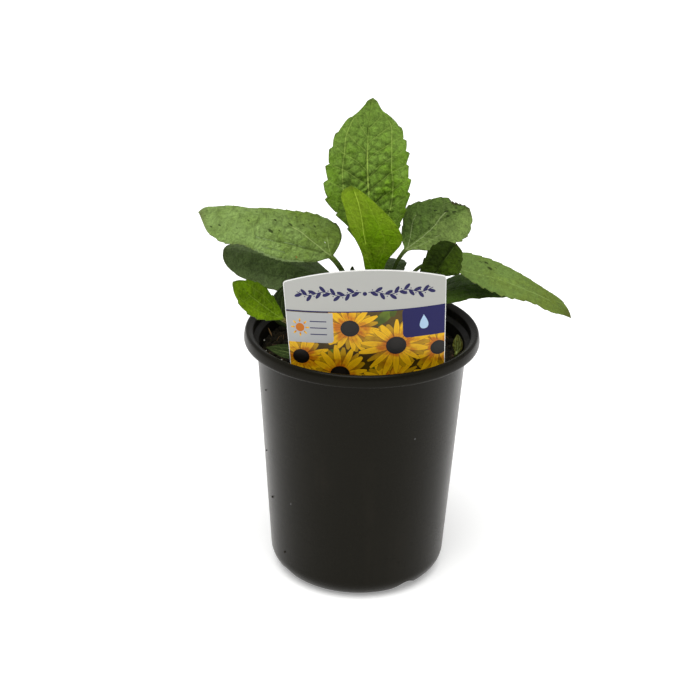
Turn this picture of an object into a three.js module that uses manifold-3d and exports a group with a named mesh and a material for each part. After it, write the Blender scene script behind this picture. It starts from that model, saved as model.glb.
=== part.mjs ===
// Potted black-eyed susan, a young plant in a black nursery pot, in millimetres.
// +Z is up, the viewer stands on the -Y side, and the origin is the centre of the pot's base.
import * as THREE from "three";
import { mergeVertices } from "three/addons/utils/BufferGeometryUtils.js";
import Module from "manifold-3d";

// Pot
const POT_HEIGHT = 129;
const RIM_RADIUS = 57.5; // a 4.5 inch pot
// The rim's section from the wall's outside over the lip and down inside, as the distances in from
// the rim's edge and down from its top
const RIM_SECTION = [
  [3.6, 6], [3.4, 1.2], [1.2, 1.2], [1, 5.6], [0.5, 6], [0.1, 5.4], [0.2, 3.4], [0, 1.3],
  [0.5, 0.4], [1.6, 0], [3.6, 0], [4.5, 0.4], [4.7, 5.6],
];
const LEDGE = 122; // height of the wall's top, just under the rim
const WALL_TOP_RADIUS = 51.3; // outside of the wall there
const WALL_FOOT_RADIUS = 44.25; // outside of the wall where the heel starts
const WALL = 1;
const FLOOR = 1.2;
const HEEL_WIDTH = 11;
const HEEL_HEIGHT = 10.7;
const HEEL_STEPS = 5;
const POT_SIDES = 40;
const NOTCH_ANGLES = [-148, -58, 32, 122]; // degrees from +X round to +Y
const NOTCH_WIDTH = 15;
const NOTCH_HEIGHT = 2.8;
const NOTCH_INNER_RADIUS = 31;

// Soil
const SOIL_LEVEL = 117;
const SOIL_RINGS = 8;
const SOIL_SWELL = 1.1; // height of the broad humps of the surface
const SOIL_CRUMB = 1.3; // height of the crumbs on them
const SOIL_SEED = 7;
const CLEARANCE = 0.3; // between a piece and the hole that it stands in

// Crown: the short stem and root stock that the leaf stalks come from, as radius and height
const CROWN_X = 6;
const CROWN_Y = 1;
const CROWN_SIDES = 20;
const CROWN_PROFILE = [
  [0, 88], [2.4, 89.5], [5, 99], [7.4, 110], [8.2, 117], [8, 122], [6.6, 128], [4, 132.5], [0, 134.5],
];
const SOCKET_DEPTH = 2.5; // of a stalk's end inside the crown

// Plant label
const LABEL_X = 0.2;
const LABEL_FRONT = -41; // the front of its bend
const LABEL_TOP = 174.7; // height of the middle of its top edge
const LABEL_WIDTH_TOP = 75;
const LABEL_WIDTH_FOOT = 70.8;
const LABEL_ARCH = 6.5; // rise of the top edge from its corners to its middle
const LABEL_CORNER = 1.8;
const LABEL_PANEL = 49.5; // from the middle of the top edge down to the panel's lower corners
const LABEL_SHOULDER = 10; // fall of the lower edge from those corners to the stake
const LABEL_LENGTH = 135;
const LABEL_STAKE_HALF = 7;
const LABEL_STAKE_TAPER = 0.3; // how much narrower each side of the stake is at its point
const LABEL_POINT = 22; // length of the stake's tapered point
const LABEL_THICKNESS = 0.7;
const LABEL_BEND_RADIUS = 118;
const LABEL_TILT = 3.5; // degrees, its right corner is the higher one
const LABEL_STRIPS = 10; // across each half of the panel beside the stake

// Leaves. root is the stalk's place on the crown, as degrees from +X round to +Y and height, and
// lean is how far it leaves sideways, for 1 upwards. base, middle and tip are the blade's start,
// the middle of its midrib and its tip, and face is the way the upper face looks there.
// half_width, fold, curl and widest are for the left and the right half, seen along the midrib with
// the upper face up. A positive fold, in degrees, raises a half and a negative one lets it hang;
// fold_tip is the fold at the tip where it differs, and curl bends the outer part the same way.
// widest is the place of the greatest width along the blade. A fullness under 1 rounds the blade's
// base or tip, and one over 1 draws it out. lobe is how far the base's corners reach back past the
// stalk's end.
const LEAVES = [
  {
    name: "leaf_tall_back", colour: 0x5f8a36, stalk: 1.4, root: [90, 128.5], lean: 0.2,
    base: [6, 9, 160], middle: [1, 16, 201], tip: [2.5, 31, 235],
    face: [0, -1, 0.25], face_tip: [0, -1, 0.55],
    half_width: [22.5, 21], fold: [10, 10], curl: [-0.12, -0.12],
    widest: [0.44, 0.44], base_full: [1, 1], tip_full: [0.75, 0.75], teeth: 9, tooth_depth: 0.07,
  },
  {
    name: "leaf_young", colour: 0x86a522, stalk: 1.6, root: [-90, 128.5], lean: 0.2,
    base: [6.5, -3, 156], middle: [-0.5, -3, 178], tip: [-8.5, 6, 198.5],
    face: [0, -1, 0.1], face_tip: [0, -1, 0.5],
    half_width: [9, 18], fold: [12, 12], curl: [0, 0],
    widest: [0.76, 0.4], base_full: [1.3, 1.3], tip_full: [0.8, 0.8], base_share: 0.3, teeth: 0,
  },
  {
    name: "leaf_left_upper", colour: 0x6d8f4a, stalk: 1.4, root: [178, 126], lean: 0.5,
    base: [-15.5, 0, 165], middle: [-44, 3, 180], tip: [-79, 2, 184],
    face: [0, -0.55, 0.83], face_tip: [0, -0.12, 1],
    half_width: [19, 19], fold: [-14, -4], fold_tip: [-32, -14], curl: [0, 0], lobe: 7,
    widest: [0.6, 0.25], base_full: [0.6, 0.4], tip_full: [0.5, 0.55], teeth: 8, tooth_depth: 0.03,
  },
  {
    name: "leaf_left_lower", colour: 0x3c5030, stalk: 1.4, root: [165, 121.5], lean: 0.8,
    base: [-12, 7, 146.5], middle: [-40, 10, 158], tip: [-68.5, 13, 162.5],
    face: [0, -0.2, 1], face_tip: [0, -0.2, 1],
    half_width: [14, 16], fold: [-35, -5], curl: [0, 0],
    widest: [0.55, 0.55], base_full: [0.6, 0.6], tip_full: [0.45, 0.45], teeth: 8, tooth_depth: 0.03,
  },
  {
    name: "leaf_left_small", colour: 0x6f9a24, stalk: 1, root: [222, 120.5], lean: 1,
    base: [-37, -24, 142], middle: [-48.5, -27, 152], tip: [-59.5, -30, 162],
    face: [0, -0.55, 0.8], face_tip: [0, -0.55, 0.8],
    half_width: [8.5, 8.5], fold: [8, 8], curl: [0, 0],
    widest: [0.5, 0.5], base_full: [0.75, 0.75], tip_full: [0.6, 0.6], teeth: 4, tooth_depth: 0.06,
  },
  {
    name: "leaf_left_shaded", colour: 0x34482a, stalk: 1, root: [196, 119.5], lean: 1.2,
    base: [-35, -8, 131], middle: [-39, -8, 142], tip: [-35.5, -4, 152.5],
    face: [0.1, -1, 0.2], face_tip: [0.1, -1, 0.2],
    half_width: [5.5, 5.5], fold: [8, 8], curl: [0, 0],
    widest: [0.45, 0.45], base_full: [0.8, 0.8], tip_full: [0.8, 0.8], teeth: 0,
  },
  {
    name: "leaf_right_upper", colour: 0x5b7a42, stalk: 1.3, root: [40, 126], lean: 0.4,
    base: [19.5, 10, 165], middle: [34.5, 17, 174.5], tip: [51.5, 24, 181.5],
    face: [-0.2, -0.6, 0.8], face_tip: [-0.1, -0.6, 0.8],
    half_width: [15.5, 15.5], fold: [12, -4], curl: [0, 0],
    widest: [0.5, 0.5], base_full: [0.5, 0.5], tip_full: [0.5, 0.5], teeth: 8, tooth_depth: 0.05,
  },
  {
    name: "leaf_right_curled", colour: 0x2f4316, stalk: 1.3, root: [-45, 124], lean: 0.5,
    base: [26.5, -14, 156], middle: [38.5, -16, 169.5], tip: [47.5, -19, 166],
    face: [0, -0.6, 0.8], face_tip: [0.5, -0.6, 0.6],
    half_width: [12.5, 10], fold: [-5, -5], curl: [-0.2, -0.2],
    widest: [0.55, 0.55], base_full: [0.6, 0.6], tip_full: [0.5, 0.5], teeth: 6, tooth_depth: 0.04,
  },
  {
    name: "leaf_right_long", colour: 0x668a44, stalk: 1.4, root: [0, 124], lean: 0.6,
    base: [32, 5, 161], middle: [65.5, -4, 162.5], tip: [98.5, -14, 143.5],
    face: [0, -0.1, 1], face_tip: [0.3, -0.1, 1],
    half_width: [11.5, 13.5], fold: [-4, -15], curl: [0, 0],
    widest: [0.4, 0.4], base_full: [0.8, 0.8], tip_full: [0.6, 0.6], teeth: 10, tooth_depth: 0.04,
  },
  {
    name: "leaf_right_lower", colour: 0x22300f, stalk: 1.3, root: [22, 120], lean: 0.8,
    base: [28, 6, 139], middle: [50, 4, 150], tip: [70, 2, 146.5],
    face: [0, -0.1, 1], face_tip: [0, -0.1, 1],
    half_width: [14, 8.5], fold: [-5, -10], curl: [0, 0],
    widest: [0.45, 0.45], base_full: [0.7, 0.7], tip_full: [0.7, 0.7], teeth: 6, tooth_depth: 0.03,
  },
  {
    name: "leaf_soil_left", colour: 0x3d5a24, stalk: 0.9, root: [250, 120.5], lean: 1,
    base: [-26, -22, 123.5], middle: [-35.5, -24, 125.5], tip: [-45, -24, 127.8],
    face: [0, -0.5, 0.8], face_tip: [0, -0.5, 0.8],
    half_width: [5, 5], fold: [6, 6], curl: [0, 0],
    widest: [0.45, 0.45], base_full: [0.8, 0.8], tip_full: [1, 1], teeth: 0,
  },
  {
    name: "leaf_back", colour: 0x5c6f56, stalk: 1.2, root: [88, 122.5], lean: 0.8,
    base: [9, 15, 142], middle: [11, 28, 152], tip: [12.5, 43, 148],
    face: [0, 0, 1], face_tip: [0, 0.4, 1],
    half_width: [10, 10.5], fold: [-6, -6], curl: [0, 0],
    widest: [0.5, 0.5], base_full: [0.7, 0.7], tip_full: [0.7, 0.7], teeth: 5, tooth_depth: 0.04,
  },
  {
    name: "leaf_bud", colour: 0x2e3a1c, stalk: 0.9, root: [150, 128.5], lean: 0.4,
    base: [-2, 10, 143], middle: [-5, 13, 148.5], tip: [-5.5, 15, 153.5],
    face: [0.3, -1, 0.3], face_tip: [0.3, -1, 0.3],
    half_width: [2.4, 2.4], fold: [20, 20], curl: [0, 0],
    widest: [0.4, 0.4], base_full: [0.8, 0.8], tip_full: [0.9, 0.9], teeth: 0,
  },
  {
    name: "shoot_right", colour: 0x6b7a2a, stalk: 0.9, planted: [45.2, -7, 108],
    base: [46, -7, 119], middle: [46.6, -7.5, 124], tip: [46, -7, 129],
    face: [-0.3, -1, 0.3], face_tip: [-0.3, -1, 0.3],
    half_width: [2.6, 2.6], fold: [10, 10], curl: [0, 0],
    widest: [0.5, 0.5], base_full: [0.8, 0.8], tip_full: [0.8, 0.8], teeth: 0,
  },
];
const BLADE_THICKNESS = 0.7;
const MIDRIB_THICKNESS = 1.6;
const MIDRIB_HALF_WIDTH = 1.6;
const TIP_HALF_WIDTH = 0.4;
const LARGE_BLADE = 12; // a half width from which a blade gets the fine division
const FINE_COLUMNS = 7;
const COARSE_COLUMNS = 5;
const SMALL_COLUMNS = 3;
const STALK_RINGS = 5;
const STALK_EDGE = 0.45; // thickness of a stalk's sides, as a share of its middle's
const HOLE_RINGS = 3; // of a stalk's rings that its hole in the crown takes in
const SMOOTH_RINGS = 10; // along a blade with no teeth

const DEGREE = Math.PI / 180;
const UP = new THREE.Vector3(0, 0, 1);

const wasm = await Module();
wasm.setup();

// Solids

function solidFrom(geometry) {
  const bare = geometry.index ? geometry.toNonIndexed() : geometry.clone();
  bare.deleteAttribute("normal");
  bare.deleteAttribute("uv");
  const merged = mergeVertices(bare, 1e-4);
  const mesh = new wasm.Mesh({
    numProp: 3,
    vertProperties: merged.attributes.position.array,
    triVerts: new Uint32Array(merged.index.array),
  });
  return new wasm.Manifold(mesh);
}

function geometryFrom(solid) {
  const mesh = solid.getMesh();
  const geometry = new THREE.BufferGeometry();
  geometry.setAttribute("position", new THREE.BufferAttribute(mesh.vertProperties, 3));
  geometry.setIndex(new THREE.BufferAttribute(mesh.triVerts, 1));
  return geometry;
}

// A closed body from rings of points, all with the same number of points, capped at both ends.
// The rings run so that, seen from the first towards the last, their points go clockwise.
function loft(rings, capFirst, capLast) {
  const size = rings[0].length;
  const positions = rings.flat().flatMap((p) => [p.x, p.y, p.z]);
  const faces = [];
  for (let i = 0; i + 1 < rings.length; i += 1) {
    for (let j = 0; j < size; j += 1) {
      const a = i * size + j;
      const b = i * size + ((j + 1) % size);
      faces.push(a, b, a + size, b, b + size, a + size);
    }
  }
  const last = (rings.length - 1) * size;
  faces.push(...capFirst);
  faces.push(...capLast.map((k) => last + k));
  const geometry = new THREE.BufferGeometry();
  geometry.setAttribute("position", new THREE.Float32BufferAttribute(positions, 3));
  geometry.setIndex(faces);
  return geometry;
}

// A body of revolution about the upright line through x, y. The profile lists radius and height.
function turned(profile, sides, x = 0, y = 0) {
  const points = profile.map(([radius, height]) => new THREE.Vector2(radius, height));
  return new THREE.LatheGeometry(points, sides).rotateX(Math.PI / 2).translate(x, y, 0);
}

// Pot

// Radius of the pot's wall at a height over the heel, an inset in from its outside.
function wallRadius(height, inset) {
  const share = (height - HEEL_HEIGHT) / (LEDGE - HEEL_HEIGHT);
  return WALL_FOOT_RADIUS + (WALL_TOP_RADIUS - WALL_FOOT_RADIUS) * share - inset;
}

// The heel's quarter round, from its upper end down to the flat base, moved in by an offset.
function heelPoints(inset) {
  const points = [];
  for (let i = 0; i <= HEEL_STEPS; i += 1) {
    const angle = ((Math.PI / 2) * i) / HEEL_STEPS;
    const radius = WALL_FOOT_RADIUS - HEEL_WIDTH + (HEEL_WIDTH - inset) * Math.cos(angle);
    points.push([radius, HEEL_HEIGHT - (HEEL_HEIGHT - inset) * Math.sin(angle)]);
  }
  return points;
}

function potGeometry() {
  const outside = heelPoints(0).reverse();
  const inside = heelPoints(WALL);
  inside[HEEL_STEPS][1] = FLOOR;
  const profile = [
    [0, 0],
    ...outside,
    [WALL_TOP_RADIUS, LEDGE],
    ...RIM_SECTION.map(([inward, down]) => [RIM_RADIUS - inward, POT_HEIGHT - down]),
    [WALL_TOP_RADIUS - WALL, LEDGE],
    ...inside,
    [0, FLOOR],
  ];
  const body = solidFrom(turned(profile, POT_SIDES));
  const depth = WALL_FOOT_RADIUS + WALL - NOTCH_INNER_RADIUS;
  const notches = NOTCH_ANGLES.map((angle) => {
    const block = new THREE.BoxGeometry(depth, NOTCH_WIDTH, 2 * NOTCH_HEIGHT);
    block.translate(NOTCH_INNER_RADIUS + depth / 2, 0, 0).rotateZ(angle * DEGREE);
    return solidFrom(block);
  });
  return geometryFrom(notches.reduce((pot, notch) => pot.subtract(notch), body));
}

// Soil

// A small repeatable generator of numbers from 0 to 1.
function seeded(seed) {
  let state = seed;
  return () => {
    state = (state * 1664525 + 1013904223) % 4294967296;
    return state / 4294967296;
  };
}

function soilGeometry(standing) {
  const draw = seeded(SOIL_SEED);
  const inset = WALL + CLEARANCE;
  const floor = FLOOR + CLEARANCE;
  const edge = wallRadius(SOIL_LEVEL, inset);
  const rows = [];
  for (const [radius, height] of heelPoints(inset).reverse()) {
    rows.push({ radius, height: () => Math.max(floor, height) });
  }
  rows.push({ radius: edge, height: () => SOIL_LEVEL - 1 });
  for (let i = 1; i <= SOIL_RINGS; i += 1) {
    const radius = edge * (1 - i / (SOIL_RINGS + 1)) ** 0.9;
    const crumbs = (angle) =>
      SOIL_LEVEL +
      SOIL_SWELL * Math.sin(radius / 9 + 2 * angle) * Math.cos(3 * angle - radius / 14) +
      SOIL_CRUMB * (2 * draw() - 1);
    rows.push({ radius, height: crumbs });
  }
  const positions = [0, 0, floor];
  for (const row of rows) {
    for (let j = 0; j < POT_SIDES; j += 1) {
      const angle = (2 * Math.PI * j) / POT_SIDES;
      positions.push(row.radius * Math.cos(angle), row.radius * Math.sin(angle), row.height(angle));
    }
  }
  positions.push(0, 0, SOIL_LEVEL);
  const faces = [];
  const at = (row, j) => 1 + row * POT_SIDES + (j % POT_SIDES);
  const centre = 1 + rows.length * POT_SIDES;
  for (let j = 0; j < POT_SIDES; j += 1) {
    faces.push(0, at(0, j + 1), at(0, j));
    faces.push(centre, at(rows.length - 1, j), at(rows.length - 1, j + 1));
    for (let i = 0; i + 1 < rows.length; i += 1) {
      faces.push(at(i, j), at(i, j + 1), at(i + 1, j));
      faces.push(at(i, j + 1), at(i + 1, j + 1), at(i + 1, j));
    }
  }
  const geometry = new THREE.BufferGeometry();
  geometry.setAttribute("position", new THREE.Float32BufferAttribute(positions, 3));
  geometry.setIndex(faces);
  return geometryFrom(standing.reduce((soil, hole) => soil.subtract(hole), solidFrom(geometry)));
}

// Crown

// Radius of the crown at a height above the soil.
function crownRadius(height) {
  const upper = CROWN_PROFILE.findIndex(([, level], i) => i > 0 && level > height);
  const [[lowRadius, low], [highRadius, high]] = CROWN_PROFILE.slice(Math.max(0, upper - 1));
  return THREE.MathUtils.mapLinear(height, low, high, lowRadius, highRadius);
}

function crownSolid(grow) {
  const profile = CROWN_PROFILE.map(([radius, height], i) => {
    const end = i === 0 ? -1 : i === CROWN_PROFILE.length - 1 ? 1 : 0;
    return [radius === 0 ? 0 : radius + grow, height + grow * end];
  });
  return solidFrom(turned(profile, CROWN_SIDES, CROWN_X, CROWN_Y));
}

// Plant label

// A point of the label from its place across the panel, below the top, and through the plate.
function labelPoint(across, up, through) {
  const tilt = LABEL_TILT * DEGREE;
  const x = across * Math.cos(tilt) - up * Math.sin(tilt);
  const z = across * Math.sin(tilt) + up * Math.cos(tilt);
  const radius = LABEL_BEND_RADIUS - through;
  const turn = x / LABEL_BEND_RADIUS;
  return new THREE.Vector3(
    LABEL_X + radius * Math.sin(turn),
    LABEL_FRONT + LABEL_BEND_RADIUS - radius * Math.cos(turn),
    LABEL_TOP + z,
  );
}

function labelSolid(grow) {
  const half = LABEL_WIDTH_TOP / 2;
  const foot = LABEL_WIDTH_FOOT / 2;
  const top = (x) => {
    const over = Math.max(0, Math.abs(x) - (half - LABEL_CORNER));
    const round = LABEL_CORNER - Math.sqrt(LABEL_CORNER ** 2 - Math.min(over, LABEL_CORNER) ** 2);
    return -LABEL_ARCH * (x / half) ** 2 - round;
  };
  const panelFoot = (x) => {
    const share = (Math.abs(x) - LABEL_STAKE_HALF) / (foot - LABEL_STAKE_HALF);
    return -LABEL_PANEL - LABEL_SHOULDER * Math.sqrt(Math.max(0, 1 - share ** 2));
  };
  const pointHalf = LABEL_STAKE_HALF - LABEL_STAKE_TAPER;
  const columns = [[0, -LABEL_LENGTH], [pointHalf, LABEL_POINT - LABEL_LENGTH]];
  for (let i = 0; i <= LABEL_STRIPS; i += 1) {
    const share = Math.sin(((Math.PI / 2) * i) / LABEL_STRIPS);
    const x = LABEL_STAKE_HALF + (half - LABEL_STAKE_HALF) * share;
    columns.push([x, panelFoot((x * foot) / half)]);
  }
  const mirrored = columns.slice(1).map(([x, low]) => [-x, low]).reverse();
  const halfThick = LABEL_THICKNESS / 2 + grow;
  const rings = [...mirrored, ...columns].map(([x, low]) => {
    const wide = x + Math.sign(x) * grow;
    const narrow = Math.abs(x) <= LABEL_STAKE_HALF ? wide : (wide * foot) / half;
    const end = low - (x === 0 ? (grow * LABEL_POINT) / LABEL_STAKE_HALF : grow);
    return [
      labelPoint(wide, top(x) + grow, -halfThick),
      labelPoint(narrow, end, -halfThick),
      labelPoint(narrow, end, halfThick),
      labelPoint(wide, top(x) + grow, halfThick),
    ];
  });
  return solidFrom(loft(rings, [0, 2, 1, 0, 3, 2], [0, 1, 2, 0, 2, 3]));
}

// Leaves

const vector = (list) => new THREE.Vector3(...list);

// The stalk's curve and the midrib's, which meet at the blade's start with one direction.
function leafCurves(leaf) {
  const base = vector(leaf.base);
  const tip = vector(leaf.tip);
  const control = vector(leaf.middle).multiplyScalar(2);
  control.addScaledVector(base, -0.5).addScaledVector(tip, -0.5);
  const midrib = new THREE.QuadraticBezierCurve3(base, control, tip);
  const [angle, height] = leaf.root ?? [0, 0];
  const outward = new THREE.Vector3(Math.cos(angle * DEGREE), Math.sin(angle * DEGREE), 0);
  const socket = new THREE.Vector3(CROWN_X, CROWN_Y, height);
  socket.addScaledVector(outward, crownRadius(height) - SOCKET_DEPTH);
  const root = leaf.planted ? vector(leaf.planted) : socket;
  const reach = base.distanceTo(root) / 3;
  const rise = UP.clone().addScaledVector(outward, leaf.lean ?? 0).setLength(reach).add(root);
  const arrive = base.clone().addScaledVector(control.clone().sub(base).normalize(), -reach);
  const stalk = new THREE.CubicBezierCurve3(root, rise, arrive, base);
  return { stalk, midrib };
}

// Place, side and upward directions on the midrib, at a share of the blade's length.
function bladeFrame(leaf, midrib, share) {
  const s = Math.min(1, Math.max(0, share));
  const along = midrib.getTangent(s);
  const face = vector(leaf.face).normalize().lerp(vector(leaf.face_tip).normalize(), s);
  const side = along.clone().cross(face).normalize();
  return { place: midrib.getPoint(s), side, up: side.clone().cross(along) };
}

function widthShare(leaf, s, half) {
  const quarter = Math.PI / 2;
  const bare = leaf.base_share ?? 0;
  const widest = leaf.widest[half];
  if (s >= widest) return Math.cos((quarter * (s - widest)) / (1 - widest)) ** leaf.tip_full[half];
  return bare + (1 - bare) * Math.sin((quarter * s) / widest) ** leaf.base_full[half];
}

// A ring of points round a leaf: the upper face from left to right, then the lower one back.
function leafRing(columns, pointAt, thicknessAt) {
  const across = [...Array(columns).keys()].map((j) => (2 * j) / (columns - 1) - 1);
  const upper = across.map((u) => pointAt(u, thicknessAt(u) / 2));
  const lower = across.map((u) => pointAt(u, -thicknessAt(u) / 2)).reverse();
  return [...upper, ...lower];
}

const ribShare = (distance) => Math.max(0, 1 - (distance / MIDRIB_HALF_WIDTH) ** 2);

// The first rings of a stalk from its foot, whose side direction is carried back from the blade.
function stalkRings(leaf, count, grow) {
  const { stalk, midrib } = leafCurves(leaf);
  const columns = columnsOf(leaf);
  const widthAtBase = Math.max(leaf.stalk, Math.max(...leaf.half_width) * (leaf.base_share ?? 0));
  const rings = [];
  let { side } = bladeFrame(leaf, midrib, 0);
  for (let i = STALK_RINGS; i >= 0; i -= 1) {
    const t = i / STALK_RINGS;
    const along = stalk.getTangent(t);
    side = side.clone().addScaledVector(along, -side.dot(along)).normalize();
    const across = side;
    const up = across.clone().cross(along);
    const place = stalk.getPoint(t).addScaledVector(along, i === 0 ? -grow : 0);
    const half = leaf.stalk + (widthAtBase - leaf.stalk) * t ** 3 + grow;
    const thick = THREE.MathUtils.lerp(2 * leaf.stalk, MIDRIB_THICKNESS, t) + 2 * grow;
    const edge = STALK_EDGE * thick;
    const point = (u, lift) =>
      place.clone().addScaledVector(across, u * half).addScaledVector(up, lift);
    if (i < count) rings.unshift(leafRing(columns, point, (u) => edge + (thick - edge) * (1 - u * u)));
  }
  return rings;
}

function bladeRings(leaf, columns) {
  const { midrib } = leafCurves(leaf);
  const places = [];
  if (leaf.teeth > 0) {
    for (let k = 0; k < leaf.teeth; k += 1) {
      places.push({ s: (k + 0.02) / leaf.teeth, tooth: 0 });
      places.push({ s: (k + 0.8) / leaf.teeth, tooth: 1 });
    }
    places[0].s = 0;
  } else {
    for (let k = 0; k < SMOOTH_RINGS; k += 1) places.push({ s: k / SMOOTH_RINGS, tooth: 1 });
  }
  places.push({ s: 1, tooth: 1 });
  return places.map(({ s, tooth }) => {
    const bite = (leaf.tooth_depth ?? 0) * (1 - tooth) * Math.min(1, 4 * s);
    const middle = bladeFrame(leaf, midrib, s);
    const skew = leaf.teeth > 0 ? (0.2 / leaf.teeth) * Math.sin(Math.PI * s) : 0;
    const halfAt = (u) => {
      const which = u < 0 ? 0 : 1;
      const full = leaf.half_width[which] * widthShare(leaf, s, which);
      return Math.max(s === 0 ? leaf.stalk : TIP_HALF_WIDTH, full);
    };
    const foldTip = leaf.fold_tip ?? leaf.fold;
    const point = (u, lift) => {
      const { place, side, up } = u === 0 ? middle : bladeFrame(leaf, midrib, s + skew * u);
      const which = u < 0 ? 0 : 1;
      const half = halfAt(u);
      const angle = THREE.MathUtils.lerp(leaf.fold[which], foldTip[which], s) * DEGREE;
      const out = u * half * (Math.abs(u) === 1 ? 1 - bite : 1) * Math.cos(angle);
      const rise = Math.abs(u) * half * Math.sin(angle) + leaf.curl[which] * half * u * u;
      const back = -(leaf.lobe ?? 0) * Math.abs(u) * Math.max(0, 1 - 2 * s) ** 2;
      place.addScaledVector(midrib.getTangent(s), s === 0 ? 0 : back);
      return place.clone().addScaledVector(side, out).addScaledVector(up, rise + lift);
    };
    const rib = THREE.MathUtils.lerp(MIDRIB_THICKNESS, BLADE_THICKNESS, s) - BLADE_THICKNESS;
    return leafRing(columns, point, (u) => BLADE_THICKNESS + rib * ribShare(u * halfAt(u)));
  });
}

function capFaces(columns, last) {
  const faces = [];
  for (let j = 0; j + 1 < columns; j += 1) {
    const below = 2 * columns - 1 - j;
    const quad = [j, below, j + 1, j + 1, below, below - 1];
    faces.push(...(last ? [quad[0], quad[2], quad[1], quad[3], quad[5], quad[4]] : quad));
  }
  return faces;
}

function columnsOf(leaf) {
  const widest = Math.max(...leaf.half_width);
  if (widest >= LARGE_BLADE) return FINE_COLUMNS;
  return widest >= LARGE_BLADE / 2 ? COARSE_COLUMNS : SMALL_COLUMNS;
}

function leafGeometry(leaf) {
  const columns = columnsOf(leaf);
  const rings = [...stalkRings(leaf, STALK_RINGS, 0), ...bladeRings(leaf, columns)];
  return loft(rings, capFaces(columns, false), capFaces(columns, true));
}

// The hole that a stalk stands in, round its lower part.
function stalkHole(leaf) {
  const columns = columnsOf(leaf);
  const rings = stalkRings(leaf, leaf.planted ? STALK_RINGS + 1 : HOLE_RINGS, CLEARANCE);
  return solidFrom(loft(rings, capFaces(columns, false), capFaces(columns, true)));
}

// The whole object

const plant = new THREE.Group();

function addMesh(name, geometry, colour, roughness) {
  const material = new THREE.MeshStandardMaterial({ color: colour, roughness, metalness: 0 });
  const mesh = new THREE.Mesh(geometry, material);
  mesh.name = name;
  plant.add(mesh);
}

const planted = LEAVES.filter((leaf) => leaf.planted);
const onCrown = LEAVES.filter((leaf) => !leaf.planted);
const crown = onCrown.reduce((solid, leaf) => solid.subtract(stalkHole(leaf)), crownSolid(0));
const standing = [crownSolid(CLEARANCE), labelSolid(CLEARANCE), ...planted.map(stalkHole)];

addMesh("pot", potGeometry(), 0x23221e, 0.5);
addMesh("soil", soilGeometry(standing), 0x1d130c, 1);
addMesh("crown", geometryFrom(crown), 0x5d6e2c, 0.7);
addMesh("label", geometryFrom(labelSolid(0)), 0xc3c1bc, 0.4);
for (const leaf of LEAVES) {
  addMesh(leaf.name, leafGeometry(leaf), leaf.colour, 0.6);
}

export default plant;
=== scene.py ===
# A young black-eyed susan in a nursery pot: its finished surfaces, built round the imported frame.
# Lists of sizes and places are in millimetres; meshes, lights and the camera are in metres.
import math
from types import SimpleNamespace

import bmesh
import bpy
import numpy as np
from bpy.props import FloatProperty, FloatVectorProperty, IntProperty, PointerProperty
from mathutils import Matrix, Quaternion, Vector, geometry


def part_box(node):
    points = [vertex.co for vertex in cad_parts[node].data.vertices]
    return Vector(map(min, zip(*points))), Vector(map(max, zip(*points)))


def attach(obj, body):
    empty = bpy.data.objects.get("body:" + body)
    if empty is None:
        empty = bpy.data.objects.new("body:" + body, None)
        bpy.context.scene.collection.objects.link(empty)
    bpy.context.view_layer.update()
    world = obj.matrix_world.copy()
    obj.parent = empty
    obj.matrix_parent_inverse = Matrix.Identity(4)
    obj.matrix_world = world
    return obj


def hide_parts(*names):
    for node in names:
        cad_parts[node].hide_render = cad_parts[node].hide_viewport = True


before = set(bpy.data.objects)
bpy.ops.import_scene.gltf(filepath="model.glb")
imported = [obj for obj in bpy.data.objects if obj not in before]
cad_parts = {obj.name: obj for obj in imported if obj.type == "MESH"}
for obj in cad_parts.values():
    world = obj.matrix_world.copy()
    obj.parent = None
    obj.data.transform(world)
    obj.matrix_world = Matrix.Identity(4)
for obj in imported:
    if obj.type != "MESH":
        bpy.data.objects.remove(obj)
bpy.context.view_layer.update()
POT_LOW, POT_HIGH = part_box("pot")

bl_info = {
    "name": "Potted black-eyed susan",
    "version": (1, 0, 0),
    "blender": (4, 5, 0),
    "location": "View3D > Sidebar > Plant",
    "description": "Makes a young black-eyed susan in a nursery pot, with its soil and plant label",
    "category": "Add Mesh",
}

MM = 0.001
BODY = "root"
UP = np.array([0.0, 0.0, 1.0])


# Colours and lengths

def linear(red, green, blue):
    """A colour's linear parts from its parts on the screen, which go from 0 to 255."""
    parts = [part / 255 for part in (red, green, blue)]
    return tuple(p / 12.92 if p <= 0.04045 else ((p + 0.055) / 1.055) ** 2.4 for p in parts)


def length(name, description, millimetres, least=0.0):
    return FloatProperty(
        name=name, description=description, default=millimetres * MM, min=least, unit="LENGTH", precision=5,
    )


def place_at(name, description, metres):
    return FloatVectorProperty(name=name, description=description, default=metres, subtype="TRANSLATION")


def turn_by(name, description, degrees):
    return FloatProperty(name=name, description=description, default=math.radians(degrees), subtype="ANGLE")


def colour(name, what, red, green, blue):
    return FloatVectorProperty(
        name=name, description="Colour of " + what, default=linear(red, green, blue),
        size=3, min=0.0, max=1.0, subtype="COLOR",
    )


def number(name, description, value, low, high):
    return IntProperty(name=name, description=description, default=value, min=low, max=high)


def share(name, description, value):
    return FloatProperty(name=name, description=description, default=value, min=0.0, max=4.0)


# Settings

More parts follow.
